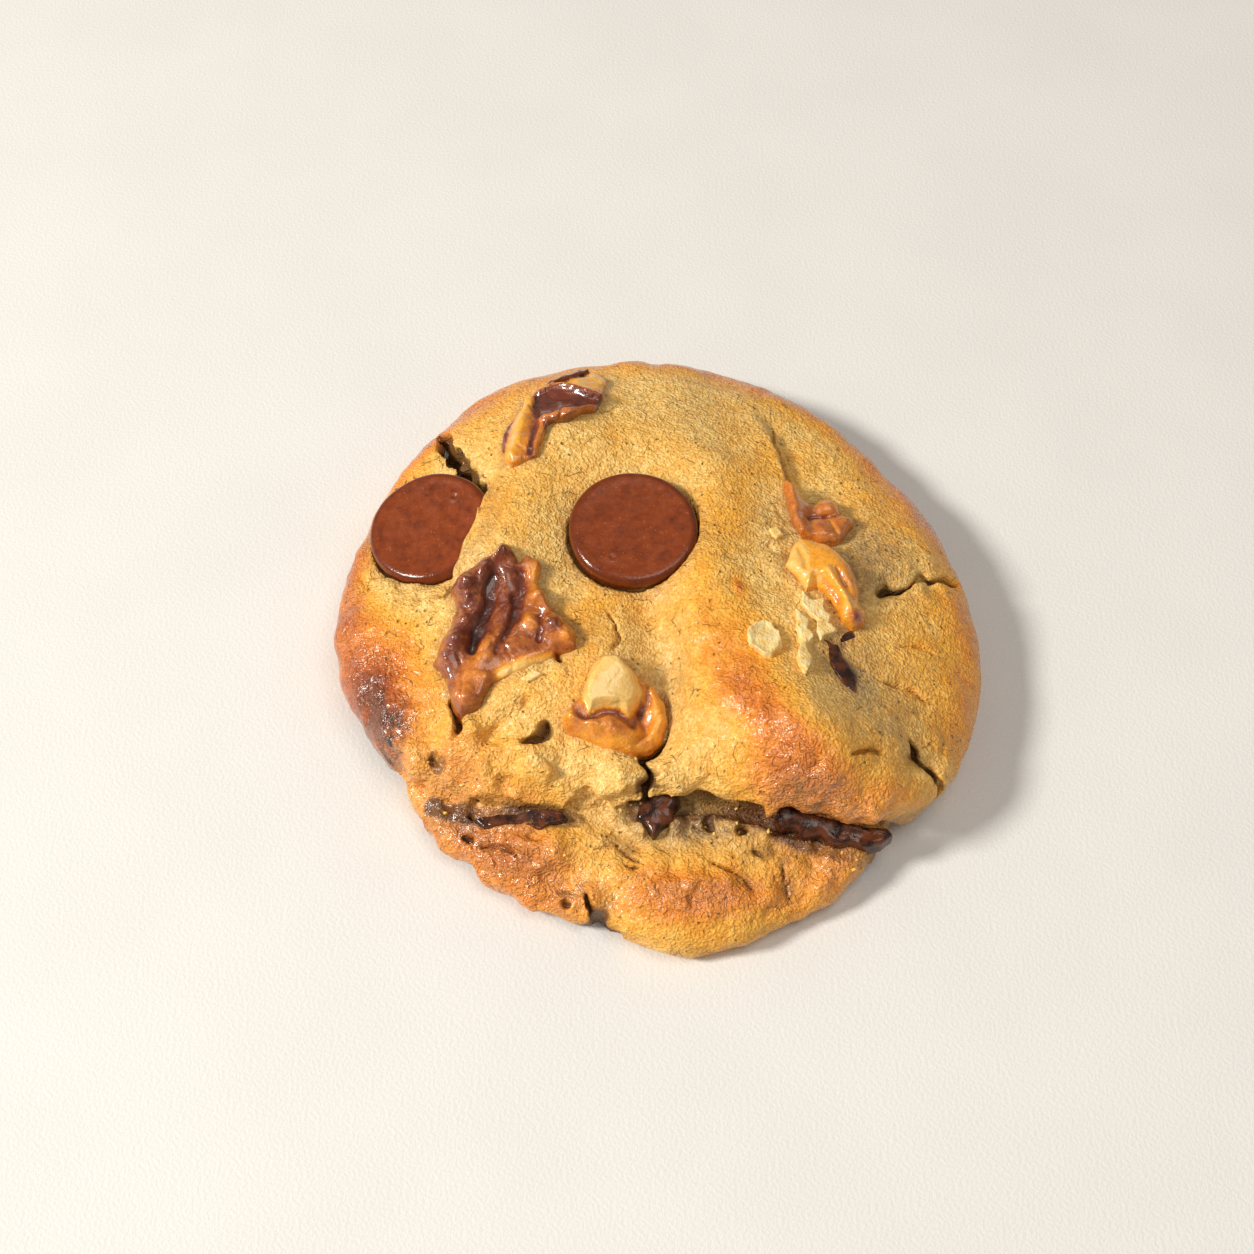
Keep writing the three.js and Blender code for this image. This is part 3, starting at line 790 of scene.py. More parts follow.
def disc_distance(block, disc, grow):
    """Height over a disc's middle plane and distance outside its wall."""
    turn = Euler([np.radians(a) for a in disc["tilt"]] + [0.0]).to_matrix()
    turn = np.array(turn)
    at = disc["at"]
    local = [
        turn[0][i] * (block.x - at[0]) + turn[1][i] * (block.y - at[1]) + turn[2][i] * (block.z - at[2])
        for i in range(3)
    ]
    outside = np.hypot(local[0], local[1]) - DISC_RADIUS - grow
    return local[2], outside


def dough_field(block, look):
    """The whole dough: two lobes, their lumps, torn patches, cracks and the beds of the discs."""
    x, y = block.x[:, :, 0], block.y[:, :, 0]
    angle = np.arctan2(y, x)
    rim = rim_height(angle)
    upper = lobe_field(block, UPPER_RADII, (0, 0), rim, dome_height(x, y), upper_bluntness(angle))
    rho = np.hypot(x, y) / radius_at(UPPER_RADII, angle)
    lift = LIP_LIFT * smooth((rho - 0.6) / 0.25) * between(angle, *LIP_ANGLES, 14)
    upper = np.minimum(upper, 0.85 * (block.z - lift[:, :, None]) + 0.4 * block.lumps(3.0, 11))
    lower = lobe_field(block, LOWER_RADII, LOWER_CENTRE, LOWER_RIM, lower_height(x, y), 4.0)

    torn = np.clip(patches(x, y, TORN), 0, 1.2)[:, :, None]
    edge = smooth((rho - 0.8) / 0.15)[:, :, None]
    broad = look.lump_height / MM * (0.9 * block.lumps(9.0, 1) + 0.6 * block.lumps(4.6, 2))
    fine = look.grain_height / MM * (0.9 * block.lumps(2.3, 3) + 0.6 * block.lumps(1.25, 4))
    crumbly = torn * (0.8 * block.lumps(3.4, 5) + 0.6 * block.lumps(1.8, 6) - 0.2)
    ledge = smooth(0.5 + block.lumps(5.5, 12) / 0.25) + 0.7 * smooth(0.5 + block.lumps(3.0, 13) / 0.3) - 0.85
    pits = smooth((block.lumps(2.1, 14) - 0.62) / 0.25)
    crumbly = crumbly + (0.06 + 0.8 * torn) * ledge - (0.15 + 1.1 * torn) * pits
    blistered = np.clip(patches(x, y, BROWNED), 0, 1)[:, :, None]
    folds = 0.5 - np.abs(block.lumps(3.0, 8))
    pleats = 0.5 - np.abs(block.lumps(1.7, 9))
    wrinkled = (0.08 + 0.55 * blistered) * folds + (0.05 + 0.60 * blistered) * pleats
    relief = broad * (1 + 0.9 * edge) + fine + crumbly + wrinkled
    field = joined(upper + relief, lower + relief * 1.3 + 0.2 * folds, 0.7)

    ragged = 0.6 * block.lumps(2.4, 7) + 0.45 * block.lumps(1.2, 10)
    uneven = 1 + 0.75 * block.lumps(1.7, 15)
    surface = top_of_dough(x, y)
    for path, width, depth in CRACKS:
        low = np.array(path).min(axis=0) - 3
        high = np.array(path).max(axis=0) + 3
        i = slice(*np.searchsorted(block.lines[0], (low[0], high[0])))
        j = slice(*np.searchsorted(block.lines[1], (low[1], high[1])))
        off, share = from_path(x[i], y[:, j], path)
        half = 0.5 * width * np.sqrt(np.sin(np.pi * np.clip(share, 0.0, 1.0)))
        deep = np.clip((surface[i, j][:, :, None] - block.z) / depth, -1, 1)
        rough = ragged[i, j] * min(1.1, 0.6 * width)
        slot = half[:, :, None] * np.sqrt(1 - np.maximum(deep, 0)) * uneven[i, j]
        slot -= np.abs(off[:, :, None] + rough)
        field[i, j] = np.minimum(field[i, j], np.where(deep < 1, -slot, field[i, j]))

    for path, half, middle, tall in HOLLOWS:
        off, share = from_path(x, y, path)
        ends = np.sin(np.pi * share)[:, :, None] ** 0.4
        round_off = np.sqrt(np.clip(1 - ((block.z - middle) / tall) ** 2, 0, 1)) * ends
        cut = np.abs(off)[:, :, None] - half * round_off - 0.8 * ragged
        field = np.where(np.abs(block.z - middle) < tall, np.minimum(field, cut), field)

    for name, disc in DISCS.items():
        over, outside = disc_distance(block, disc, DISC_ROOM)
        bed = np.abs(over) if name == "disc_side" else -over
        wall = outside + 0.3 * ragged * (over < DISC_THICK)
        field = np.minimum(field, np.maximum(wall, bed - DISC_THICK / 2 - 0.1))
    return np.minimum(field, np.broadcast_to(block.z, field.shape))


def dough_masks(points, block_noise):
    """Where the dough is browned, greyed by chocolate or torn at each point, and where shade is painted on
    it: round and beside walnuts, under the lip, and deep in its cracks and hollows.
    """
    x, y, z = points.T
    angle = np.arctan2(y, x)
    rho = np.hypot(x, y) / radius_at(UPPER_RADII, angle)
    lower = smooth((LOWER_SHOWS_BELOW - z) / 1.5) * smooth((LOWER_SHOWS_BEFORE - y) / 4)
    edge = smooth((rho - 0.84) / 0.14) * (1 - lower)
    torn = np.clip(patches(x, y, TORN), 0, 1)
    stained_and_shaded = patches(x, y, STAINED_AND_SHADED) * (1 - lower) + patches(x, y, LOWER_STAINED_AND_SHADED) * lower
    for disc in DISCS.values():
        away = np.hypot(x - disc["at"][0], y - disc["at"][1]) - DISC_RADIUS
        stained_and_shaded += 0.45 * np.exp(-((away / 2.0) ** 2))
    # Painted shade: a dark ring on the dough round each walnut, where it meets the dough.
    for form in WALNUTS.values():
        stained_and_shaded += 0.45 * np.exp(-((np.maximum(-inside(x, y, form["outline"]), 0) / 0.9) ** 2))
    browned = patches(x, y, BROWNED) + 0.30 * edge * (1 - 0.6 * on_lip(angle)) + 0.13
    browned -= 0.3 * torn * (1 - 0.5 * lower)
    browned += 0.14 * block_noise[0] + 0.08 * block_noise[1] + 0.12 * lower
    browned -= 0.3 * smooth((13.5 - z) / 3) * on_lip(angle) * (rho > 0.8) * (1 - 0.6 * lower)
    # Painted shade: dark deep in the cracks and in the hollows under the lip.
    depth = top_of_dough(x, y) - z
    deep = np.zeros(len(x))
    for path, width, _ in CRACKS:
        beside = np.abs(from_path(x, y, path)[0]) - 0.5 * width
        dark = np.clip(0.35 + 0.3 * width, 0, 1)
        deep = np.maximum(deep, dark * smooth((depth - 0.6) / 1.6) * smooth((1.0 - beside) / 0.6))
    for path, half, middle, tall in HOLLOWS:
        beside = np.abs(from_path(x, y, path)[0]) - half
        dark = smooth((1.0 - beside) / 0.6) * smooth((middle + 0.8 * tall - z) / 0.8)
        deep = np.maximum(deep, dark * smooth(0.85 + 0.4 * block_noise[1]))
    return {
        "browned": np.clip(browned, 0, 1.2),
        "stained_and_shaded": np.clip(stained_and_shaded, 0, 1),
        "torn": torn,
        "scorched": np.clip(patches(x, y, SCORCHED), 0, 1),
        "deep": deep,
    }


def sampled(values, block, points):
    """Values of a block at points, by the nearest cube."""
    near = np.round((points - block.low) / block.cube).astype(int)
    near = np.clip(near, 0, np.array(values.shape) - 1)
    return values[tuple(near.T)]


# Toppings

def outline_block(outline, cube, height, depth, lie=upper_top):
    """A block round an outline on the dough's surface."""
    plan = np.array(outline)
    low, high = plan.min(axis=0) - 1, plan.max(axis=0) + 1
    x, y = np.meshgrid(np.linspace(low[0], high[0], 20), np.linspace(low[1], high[1], 20))
    ground = lie(x, y)
    return Block((*low, ground.min() - depth - 0.5), (*high, ground.max() + height + 1), cube)


def on_dough(block, outline, edge, top, depth, ragged, lie=upper_top):
    """A piece that lies on the dough within an outline, with a rounded edge."""
    x, y = block.x[:, :, 0], block.y[:, :, 0]
    within = inside(x, y, outline)[:, :, None] + ragged
    t = np.clip(within / edge, 0, 1)
    ground = lie(x, y)[:, :, None]
    over = ground + np.sqrt(1 - (1 - t) ** 2) * top - block.z
    return evened(np.minimum(np.minimum(over, within), block.z - ground + depth), block.cube)


def nut_form(block, nut):
    """Height and toast of a walnut's surface in plan."""
    x = block.x[:, :, 0] + 0.35 * block.lumps(2.4, 5)[:, :, 0] + 0.15 * block.lumps(1.1, 6)[:, :, 0]
    y = block.y[:, :, 0] + 0.35 * block.lumps(2.4, 7)[:, :, 0] + 0.15 * block.lumps(1.1, 8)[:, :, 0]
    top = np.full(np.broadcast(x, y).shape, nut["rise"])
    toast = np.full(top.shape, nut["toast"])
    for outline, edge, height, colour in nut["plates"]:
        within = inside(x, y, outline)
        top += height * smooth(within / edge)
        toast += (colour - toast) * smooth(within / 0.5 + 0.5)
    for path, width, height, change in nut["ridges"]:
        near = np.exp(-((near_path(x, y, path) / width) ** 2))
        top += height * near
        toast += change * near
    top = 1.0 + joined(top - 1.0, np.zeros_like(top), 0.5)
    # Painted shade: a walnut's low places are toasted darker, its high places paler.
    toast -= nut["crumple_and_shade"] * np.clip(top - nut["rise"], -1, 1)
    return top[:, :, None], np.broadcast_to(toast[:, :, None], (*top.shape, len(block.lines[2])))


# Shader nodes

def add(tree, kind, inputs=None, **settings):
    """A node with its settings, its inputs linked to sockets or set to values."""
    made = tree.nodes.new(kind)
    for key, value in settings.items():
        setattr(made, key, value)
    for key, value in (inputs or {}).items():
        if isinstance(value, bpy.types.NodeSocket):
            tree.links.new(value, made.inputs[key])
        else:
            made.inputs[key].default_value = value
    return made


def maths(tree, operation, *values, clamp=False):
    inputs = dict(enumerate(values))
    return add(tree, "ShaderNodeMath", inputs, operation=operation, use_clamp=clamp).outputs[0]


def moved_by(tree, operation, *values, scale=None):
    """A vector put through a Vector Math node."""
    inputs = dict(enumerate(values))
    if scale is not None:
        inputs["Scale"] = scale
    return add(tree, "ShaderNodeVectorMath", inputs, operation=operation).outputs[0]


def ranged(tree, value, low, high, to_low=0.0, to_high=1.0):
    """A value eased from one range to another."""
    inputs = {"Value": value, "From Min": low, "From Max": high, "To Min": to_low, "To Max": to_high}
    return add(tree, "ShaderNodeMapRange", inputs, interpolation_type="SMOOTHSTEP").outputs[0]


def rgba(colour):
    """A colour with full alpha. A socket stays as it is."""
    return colour if isinstance(colour, bpy.types.NodeSocket) else (*colour[:3], 1.0)


def mixed(tree, share, a, b, blend="MIX"):
    inputs = {"Factor": share, 6: rgba(a), 7: rgba(b)}
    return add(tree, "ShaderNodeMix", inputs, data_type="RGBA", blend_type=blend).outputs[2]


def ramped(tree, value, stops):
    """A colour that follows a value through stops of position and colour."""
    ramp = add(tree, "ShaderNodeValToRGB", {"Fac": value})
    made = ramp.color_ramp.elements
    for stop, (position, colour) in zip(made, (stops[0], stops[-1])):
        stop.position = position
        stop.color = rgba(colour)
    for position, colour in stops[1:-1]:
        made.new(position).color = rgba(colour)
    return ramp.outputs[0]


def hairline(tree, value, width, strength=1.0):
    """A thin line where a noise passes its middle."""
    off = maths(tree, "ABSOLUTE", maths(tree, "SUBTRACT", value, 0.5))
    return ranged(tree, off, 0.0, width, strength, 0.0)


def speckle(tree, vector, size, detail=2.0, rough=0.5, twist=0.0):
    inputs = {"Vector": vector, "Scale": 1 / size, "Detail": detail, "Roughness": rough, "Distortion": twist}
    return add(tree, "ShaderNodeTexNoise", inputs).outputs["Fac"]


def group(name, inputs, outputs):
    """A new node group with named inputs and outputs."""
    made = bpy.data.node_groups.new(name, "ShaderNodeTree")
    for key, kind, value in inputs:
        socket = made.interface.new_socket(key, in_out="INPUT", socket_type=kind)
        if value is not None:
            socket.default_value = value
    for key, kind in outputs:
        made.interface.new_socket(key, in_out="OUTPUT", socket_type=kind)
    return made, made.nodes.new("NodeGroupInput").outputs, made.nodes.new("NodeGroupOutput").inputs


def use(tree, made, inputs):
    return add(tree, "ShaderNodeGroup", inputs, node_tree=made).outputs


def millimetres(tree):
    """Object coordinates in millimetres."""
    place = add(tree, "ShaderNodeTexCoord").outputs["Object"]
    return moved_by(tree, "SCALE", place, scale=1000.0)


def attribute(tree, name):
    return add(tree, "ShaderNodeAttribute", attribute_name=name).outputs["Fac"]


def crumb_group():
    """Wrinkles, grains, pores and hairline cracks of something baked."""
    inputs = (
        ("Vector", "NodeSocketVector", None),
        ("Wrinkle", "NodeSocketFloat", 0.3),
        ("Cracked", "NodeSocketFloat", 0.3),
    )
    outputs = tuple((name, "NodeSocketFloat") for name in ("Height", "Tone", "Hollow"))
    tree, given, out = group("Baked crumb", inputs, outputs)
    place = given["Vector"]
    grains = add(tree, "ShaderNodeTexVoronoi", {"Vector": place, "Scale": 1.9}, feature="F1").outputs
    soft = speckle(tree, place, 0.45, 1.0, 0.5)
    one = add(tree, "ShaderNodeSeparateColor", {0: grains["Color"]}).outputs[0]
    grain = maths(tree, "MULTIPLY_ADD", grains["Distance"], -0.5, soft)
    grain = maths(tree, "ADD", grain, 0.22)
    pebble = speckle(tree, place, 1.4, 2.0, 0.55, 0.4)
    coarse = hairline(tree, speckle(tree, place, 1.9, 1.0, 0.4, 1.2), 0.13)
    small = hairline(tree, speckle(tree, place, 0.95, 1.0, 0.4, 0.8), 0.15)
    both = maths(tree, "MULTIPLY_ADD", small, 0.5, coarse)
    bent = add(tree, "ShaderNodeTexNoise", {"Vector": place, "Scale": 0.5, "Detail": 3.0}).outputs["Color"]
    moved = moved_by(tree, "ADD", place, moved_by(tree, "SCALE", bent, scale=1.6))
    cells = add(tree, "ShaderNodeTexVoronoi", {"Vector": moved, "Scale": 0.2}, feature="DISTANCE_TO_EDGE")
    line = ranged(tree, cells.outputs["Distance"], 0.0, 0.018, 0.6, 0.0)
    patch = ranged(tree, speckle(tree, place, 3.2, 1.0), 0.57, 0.66)
    line = maths(tree, "MULTIPLY", maths(tree, "MULTIPLY", line, patch), given["Cracked"])
    dots = add(tree, "ShaderNodeTexVoronoi", {"Vector": moved, "Scale": 0.6}, feature="F1")
    pore = ranged(tree, dots.outputs["Distance"], 0.07, 0.2, 1.0, 0.0)
    pore = maths(tree, "MULTIPLY", pore, ranged(tree, speckle(tree, place, 5.0, 1.0), 0.47, 0.6))
    # Pores and hairline cracks dip the relief; the dough paints shade into them with its pore colour.
    hollow = maths(tree, "MAXIMUM", line, pore)
    raised = maths(tree, "MULTIPLY", both, ranged(tree, given["Wrinkle"], 0.0, 1.0, 0.05, 0.26))
    raised = maths(tree, "MULTIPLY_ADD", pebble, 0.5, raised)
    height = maths(tree, "MULTIPLY_ADD", grain, 0.30, raised)
    height = maths(tree, "MULTIPLY_ADD", hollow, -0.5, height)
    # The tone follows the grain and pebble relief, so it paints shade into low places and light onto the
    # tops; each grain's own random tone is added.
    tone = maths(tree, "MULTIPLY_ADD", pebble, 0.4, maths(tree, "MULTIPLY", grain, 0.4))
    tone = maths(tree, "MULTIPLY_ADD", one, 0.14, tone)
    tree.links.new(height, out["Height"])
    tree.links.new(tone, out["Tone"])
    tree.links.new(hollow, out["Hollow"])
    return tree


def sheen_group():
    """Uneven gloss and fine dents of something oily or melted."""
    inputs = (
        ("Vector", "NodeSocketVector", None),
        ("Size", "NodeSocketFloat", 1.0),
        ("Dull", "NodeSocketFloat", 0.4),
        ("Bright", "NodeSocketFloat", 0.2),
    )
    outputs = (("Roughness", "NodeSocketFloat"), ("Height", "NodeSocketFloat"))
    tree, given, out = group("Oily sheen", inputs, outputs)
    place = moved_by(tree, "SCALE", given["Vector"], scale=maths(tree, "DIVIDE", 1.0, given["Size"]))
    patch = speckle(tree, place, 2.2, 3.0, 0.6)
    inputs = {"Value": patch, "From Min": 0.35, "From Max": 0.65}
    inputs.update({"To Min": given["Bright"], "To Max": given["Dull"]})
    tree.links.new(add(tree, "ShaderNodeMapRange", inputs).outputs[0], out["Roughness"])
    tree.links.new(maths(tree, "MULTIPLY", speckle(tree, place, 0.8, 3.0, 0.6, 0.6), 0.2), out["Height"])
    return tree


def surface(tree, colour, roughness, height, strength=1.0, **shader):
    """The material's own shader, with its relief."""
    bump = add(tree, "ShaderNodeBump", {"Height": height, "Distance": MM, "Strength": strength}).outputs[0]
    inputs = {"Base Color": colour, "Roughness": roughness, "Normal": bump}
    names = {key.replace("_", " "): value for key, value in shader.items()}
    principled = add(tree, "ShaderNodeBsdfPrincipled", {**inputs, **names})
    out = add(tree, "ShaderNodeOutputMaterial")
    tree.links.new(principled.outputs[0], out.inputs[0])


def new_material(name):
    made = bpy.data.materials.new(name)
    made.use_nodes = True
    made.node_tree.nodes.clear()
    return made, made.node_tree


def dough_material(look, crumb):
    made, tree = new_material("Baked dough")
    place = millimetres(tree)
    browned = attribute(tree, "browned")
    stained_and_shaded = attribute(tree, "stained_and_shaded")
    torn = attribute(tree, "torn")
    wrinkle = ranged(tree, browned, 0.35, 0.8, 0.15, 1.0)
    cracked = ranged(tree, browned, 0.3, 0.7, 1.0, 0.3)
    baked = use(tree, crumb, {"Vector": place, "Wrinkle": wrinkle, "Cracked": cracked})
    patch = maths(tree, "SUBTRACT", speckle(tree, place, 3.0, 3.0, 0.6), 0.5)
    # The crumb's tone follows its relief, so this adds painted shade to its low places.
    speck = maths(tree, "SUBTRACT", baked["Tone"], 0.5)
    depth = maths(tree, "MULTIPLY_ADD", patch, 0.42, browned)
    depth = maths(tree, "MULTIPLY_ADD", speck, 0.35, depth)
    stops = (0.0, look.pale), (0.28, look.golden), (0.56, look.orange), (0.82, look.brown), (1.0, look.dark)
    colour = ramped(tree, depth, stops)
    colour = mixed(tree, maths(tree, "MULTIPLY", torn, 0.3), colour, look.crumb)
    spread = ranged(tree, speckle(tree, place, 2.4, 3.0, 0.65), 0.3, 0.62)
    # The chocolate stain, which also paints shade round and beside the walnuts and under the lip.
    smear_and_shade = maths(tree, "MULTIPLY_ADD", spread, 0.5, 0.45)
    smear_and_shade = maths(tree, "MULTIPLY", smear_and_shade, stained_and_shaded, clamp=True)
    colour = mixed(tree, smear_and_shade, colour, look.stain_and_shade)
    burnt = ranged(tree, speckle(tree, place, 2.0, 3.0, 0.55), 0.32, 0.62)
    burnt = maths(tree, "MULTIPLY", burnt, attribute(tree, "scorched"), clamp=True)
    colour = mixed(tree, burnt, colour, look.burnt)
    # Painted shade and light: the crumb's low places are darker and warmer, its tops paler and bluer.
    shade = ranged(tree, baked["Tone"], 0.35, 0.63)
    warm = mixed(tree, shade, (0.82, 0.65, 0.42), (1.05, 1.07, 1.16))
    colour = mixed(tree, 1.0, colour, warm, "MULTIPLY")
    # Painted shade in pores and hairline cracks.
    colour = mixed(tree, maths(tree, "MULTIPLY", baked["Hollow"], 0.65), colour, look.pore)
    # Painted shade deep in the cracks and in the hollows under the lip.
    colour = mixed(tree, maths(tree, "MULTIPLY", attribute(tree, "deep"), 0.9), colour, look.inside)
    rough = ranged(tree, browned, 0.25, 0.75, 0.5, 0.36)
    oily = ranged(tree, browned, 0.2, 0.65, 0.3, 1.0)
    rough = maths(tree, "MULTIPLY_ADD", speck, 0.5, rough)
    ripples = maths(tree, "MULTIPLY", speckle(tree, place, 1.2, 3.0, 0.6, 1.0), 0.6)
    film = add(tree, "ShaderNodeBump", {"Height": ripples, "Distance": MM, "Strength": 0.6}).outputs[0]
    coat = {"Coat_Weight": oily, "Coat_Roughness": 0.15, "Coat_Normal": film}
    surface(tree, colour, rough, baked["Height"], IOR=1.36, **coat)
    return made


def disc_material(look, sheen):
    made, tree = new_material("Chocolate disc")
    place = millimetres(tree)
    dull = look.disc_roughness
    oily = use(tree, sheen, {"Vector": place, "Size": 1.1, "Dull": dull, "Bright": dull * 0.7})
    cloud = ranged(tree, speckle(tree, place, 2.0, 5.0, 0.7), 0.2, 0.62)
    colour = mixed(tree, cloud, look.disc_dark, look.disc)
    scratch = hairline(tree, speckle(tree, place, 1.6, 1.0, 0.5, 3.0), 0.012)
    here = ranged(tree, speckle(tree, place, 2.0, 1.0), 0.52, 0.62)
    scratch = maths(tree, "MULTIPLY", maths(tree, "MULTIPLY", scratch, here), 0.6)
    colour = mixed(tree, scratch, colour, look.disc_bloom)
    dots = add(tree, "ShaderNodeTexVoronoi", {"Vector": place, "Scale": 0.8}, feature="F1").outputs
    colour = mixed(tree, ranged(tree, dots["Distance"], 0.04, 0.12, 0.7, 0.0), colour, look.disc_bloom)
    rim = attribute(tree, "rim")
    colour = mixed(tree, maths(tree, "MULTIPLY", rim, 0.6), colour, look.disc_dark)
    inputs = {"Factor": rim, 2: oily["Roughness"], 3: 0.2}
    rough = add(tree, "ShaderNodeMix", inputs, data_type="FLOAT").outputs[0]
    surface(tree, colour, rough, oily["Height"], 0.4, IOR=1.48)
    return made


def melted_material(look, sheen):
    made, tree = new_material("Melted chocolate")
    place = millimetres(tree)
    oily = use(tree, sheen, {"Vector": place, "Size": 1.6, "Dull": 0.30, "Bright": 0.10})
    cloud = ranged(tree, speckle(tree, place, 1.8, 3.0, 0.6), 0.35, 0.65)
    colour = mixed(tree, cloud, look.melted_dark, look.melted)
    surface(tree, colour, oily["Roughness"], oily["Height"], 0.9, IOR=1.48)
    return made


def walnut_material(look, sheen):
    made, tree = new_material("Toasted walnut")
    place = millimetres(tree)
    toast = attribute(tree, "toast")
    patch = maths(tree, "SUBTRACT", speckle(tree, place, 1.6, 4.0, 0.65, 0.8), 0.5)
    depth = maths(tree, "MULTIPLY_ADD", patch, 0.5, toast)
    flesh = (0.02, look.kernel), (0.26, look.kernel_gold)
    skin = (0.5, look.skin), (0.74, look.skin_red), (0.97, look.skin_dark)
    colour = ramped(tree, depth, flesh + skin)
    vein_and_groove_shade = hairline(tree, speckle(tree, place, 1.3, 2.0, 0.5, 2.0), 0.03, 0.5)
    # The creases add vein colour and painted shade along the grooves of the skin.
    vein_and_groove_shade = maths(tree, "MAXIMUM", vein_and_groove_shade, maths(tree, "MULTIPLY", attribute(tree, "crease"), 0.6))
    vein_and_groove_shade = maths(tree, "MULTIPLY", vein_and_groove_shade, ranged(tree, toast, 0.0, 0.5, 0.15, 0.9))
    colour = mixed(tree, vein_and_groove_shade, colour, look.skin_red)
    oily = use(tree, sheen, {"Vector": place, "Size": 0.8, "Dull": 0.46, "Bright": 0.2})
    coat = {"Coat_Weight": look.nut_gloss, "Coat_Roughness": 0.09}
    surface(tree, colour, oily["Roughness"], oily["Height"], 0.9, IOR=1.5, **coat)
    return made


def pale_material(look, crumb):
    made, tree = new_material("Pale nut flesh")
    place = millimetres(tree)
    baked = use(tree, crumb, {"Vector": place, "Wrinkle": 0.2, "Cracked": 0.0})
    cloud = ranged(tree, speckle(tree, place, 1.5, 3.0, 0.6), 0.35, 0.65)
    colour = mixed(tree, cloud, look.flake, look.kernel)
    surface(tree, colour, 0.42, baked["Height"], 0.5, IOR=1.45)
    return made


def crumbs_material(look, crumb):
    made, tree = new_material("Loose crumbs")
    place = millimetres(tree)
    baked = use(tree, crumb, {"Vector": place, "Wrinkle": 0.3, "Cracked": 0.0})
    cloud = ranged(tree, speckle(tree, place, 2.0, 3.0, 0.6), 0.4, 0.62)
    colour = mixed(tree, cloud, look.crumb, look.golden)
    surface(tree, colour, 0.7, baked["Height"], 0.6, IOR=1.42)
    return made


# Crumbs by geometry nodes

def crumbs_tree(material):
    """Scatters small crumbs on a surface where its torn mask is high."""
    tree = bpy.data.node_groups.new("Scattered crumbs", "GeometryNodeTree")
    face = tree.interface
    face.new_socket("Geometry", in_out="INPUT", socket_type="NodeSocketGeometry")
    for name in ("Per square metre", "Smallest", "Largest"):
        face.new_socket(name, in_out="INPUT", socket_type="NodeSocketFloat")
    face.new_socket("Seed", in_out="INPUT", socket_type="NodeSocketInt")
    face.new_socket("Geometry", in_out="OUTPUT", socket_type="NodeSocketGeometry")
    given = tree.nodes.new("NodeGroupInput").outputs
    torn = add(tree, "GeometryNodeInputNamedAttribute", {"Name": "torn"}, data_type="FLOAT").outputs[0]
    torn = ranged(tree, torn, 0.35, 0.9)
    normal = add(tree, "GeometryNodeInputNormal").outputs[0]
    upward = ranged(tree, add(tree, "ShaderNodeSeparateXYZ", {0: normal}).outputs[2], 0.3, 0.5)
    share = maths(tree, "MULTIPLY", torn, upward)
    share = maths(tree, "MULTIPLY", share, given["Per square metre"])
    points = add(
        tree,
        "GeometryNodeDistributePointsOnFaces",
        {"Mesh": given["Geometry"], "Density": share, "Seed": given["Seed"]},
        distribute_method="RANDOM",
    )
    one = add(tree, "GeometryNodeMeshUVSphere", {"Segments": 7, "Rings": 5, "Radius": 1.0}).outputs["Mesh"]
    size = add(
        tree,
        "FunctionNodeRandomValue",
        {2: given["Smallest"], 3: given["Largest"], "Seed": given["Seed"]},
        data_type="FLOAT",
    ).outputs[1]
    turn = add(
        tree,
        "FunctionNodeRandomValue",
        {0: (0, 0, 0), 1: (6.3, 6.3, 6.3), "Seed": given["Seed"]},
        data_type="FLOAT_VECTOR",
    ).outputs[0]
    placed = add(
        tree,
        "GeometryNodeInstanceOnPoints",
        {"Points": points.outputs["Points"], "Instance": one, "Rotation": turn, "Scale": size},
    ).outputs[0]
    real = add(tree, "GeometryNodeRealizeInstances", {"Geometry": placed}).outputs[0]
    rough = add(tree, "ShaderNodeTexNoise", {"Scale": 1500.0, "Detail": 1.0}).outputs["Color"]
    shift = moved_by(tree, "SUBTRACT", rough, (0.5, 0.5, 0.5))
    shift = moved_by(tree, "SCALE", shift, scale=0.0009)
    moved = add(tree, "GeometryNodeSetPosition", {"Geometry": real, "Offset": shift}).outputs[0]
    done = add(tree, "GeometryNodeSetMaterial", {"Geometry": moved, "Material": material}).outputs[0]
    out = tree.nodes.new("NodeGroupOutput")
    tree.links.new(done, out.inputs[0])
    return tree


def scattered(name, base, tree, values):
    """The plain mesh that a tree makes on a copy of the base."""
    carrier = bpy.data.objects.new(name, base.data.copy())
    bpy.context.scene.collection.objects.link(carrier)
    modifier = carrier.modifiers.new("Crumbs", "NODES")
    modifier.node_group = tree
    for item in tree.interface.items_tree:
        if item.in_out == "INPUT" and item.name in values:
            modifier[item.identifier] = values[item.name]
    ready = carrier.evaluated_get(bpy.context.evaluated_depsgraph_get())
    mesh = bpy.data.meshes.new_from_object(ready)
    carrier.modifiers.clear()
    carrier.data = mesh
    mesh.name = name
    return carrier


# What a user can change

def plain_number(name, description, default, **more):
    return bpy.props.FloatProperty(name=name, description=description, default=default, min=0, **more)


def length(name, description, default):
    return plain_number(name, description, default, unit="LENGTH", precision=5)


def fraction(name, description, default):
    return plain_number(name, description, default, max=1, subtype="FACTOR")


def colour(name, description, default):
    return bpy.props.FloatVectorProperty(
        name=name, description=description, default=default, size=3, min=0, max=1, subtype="COLOR"
    )


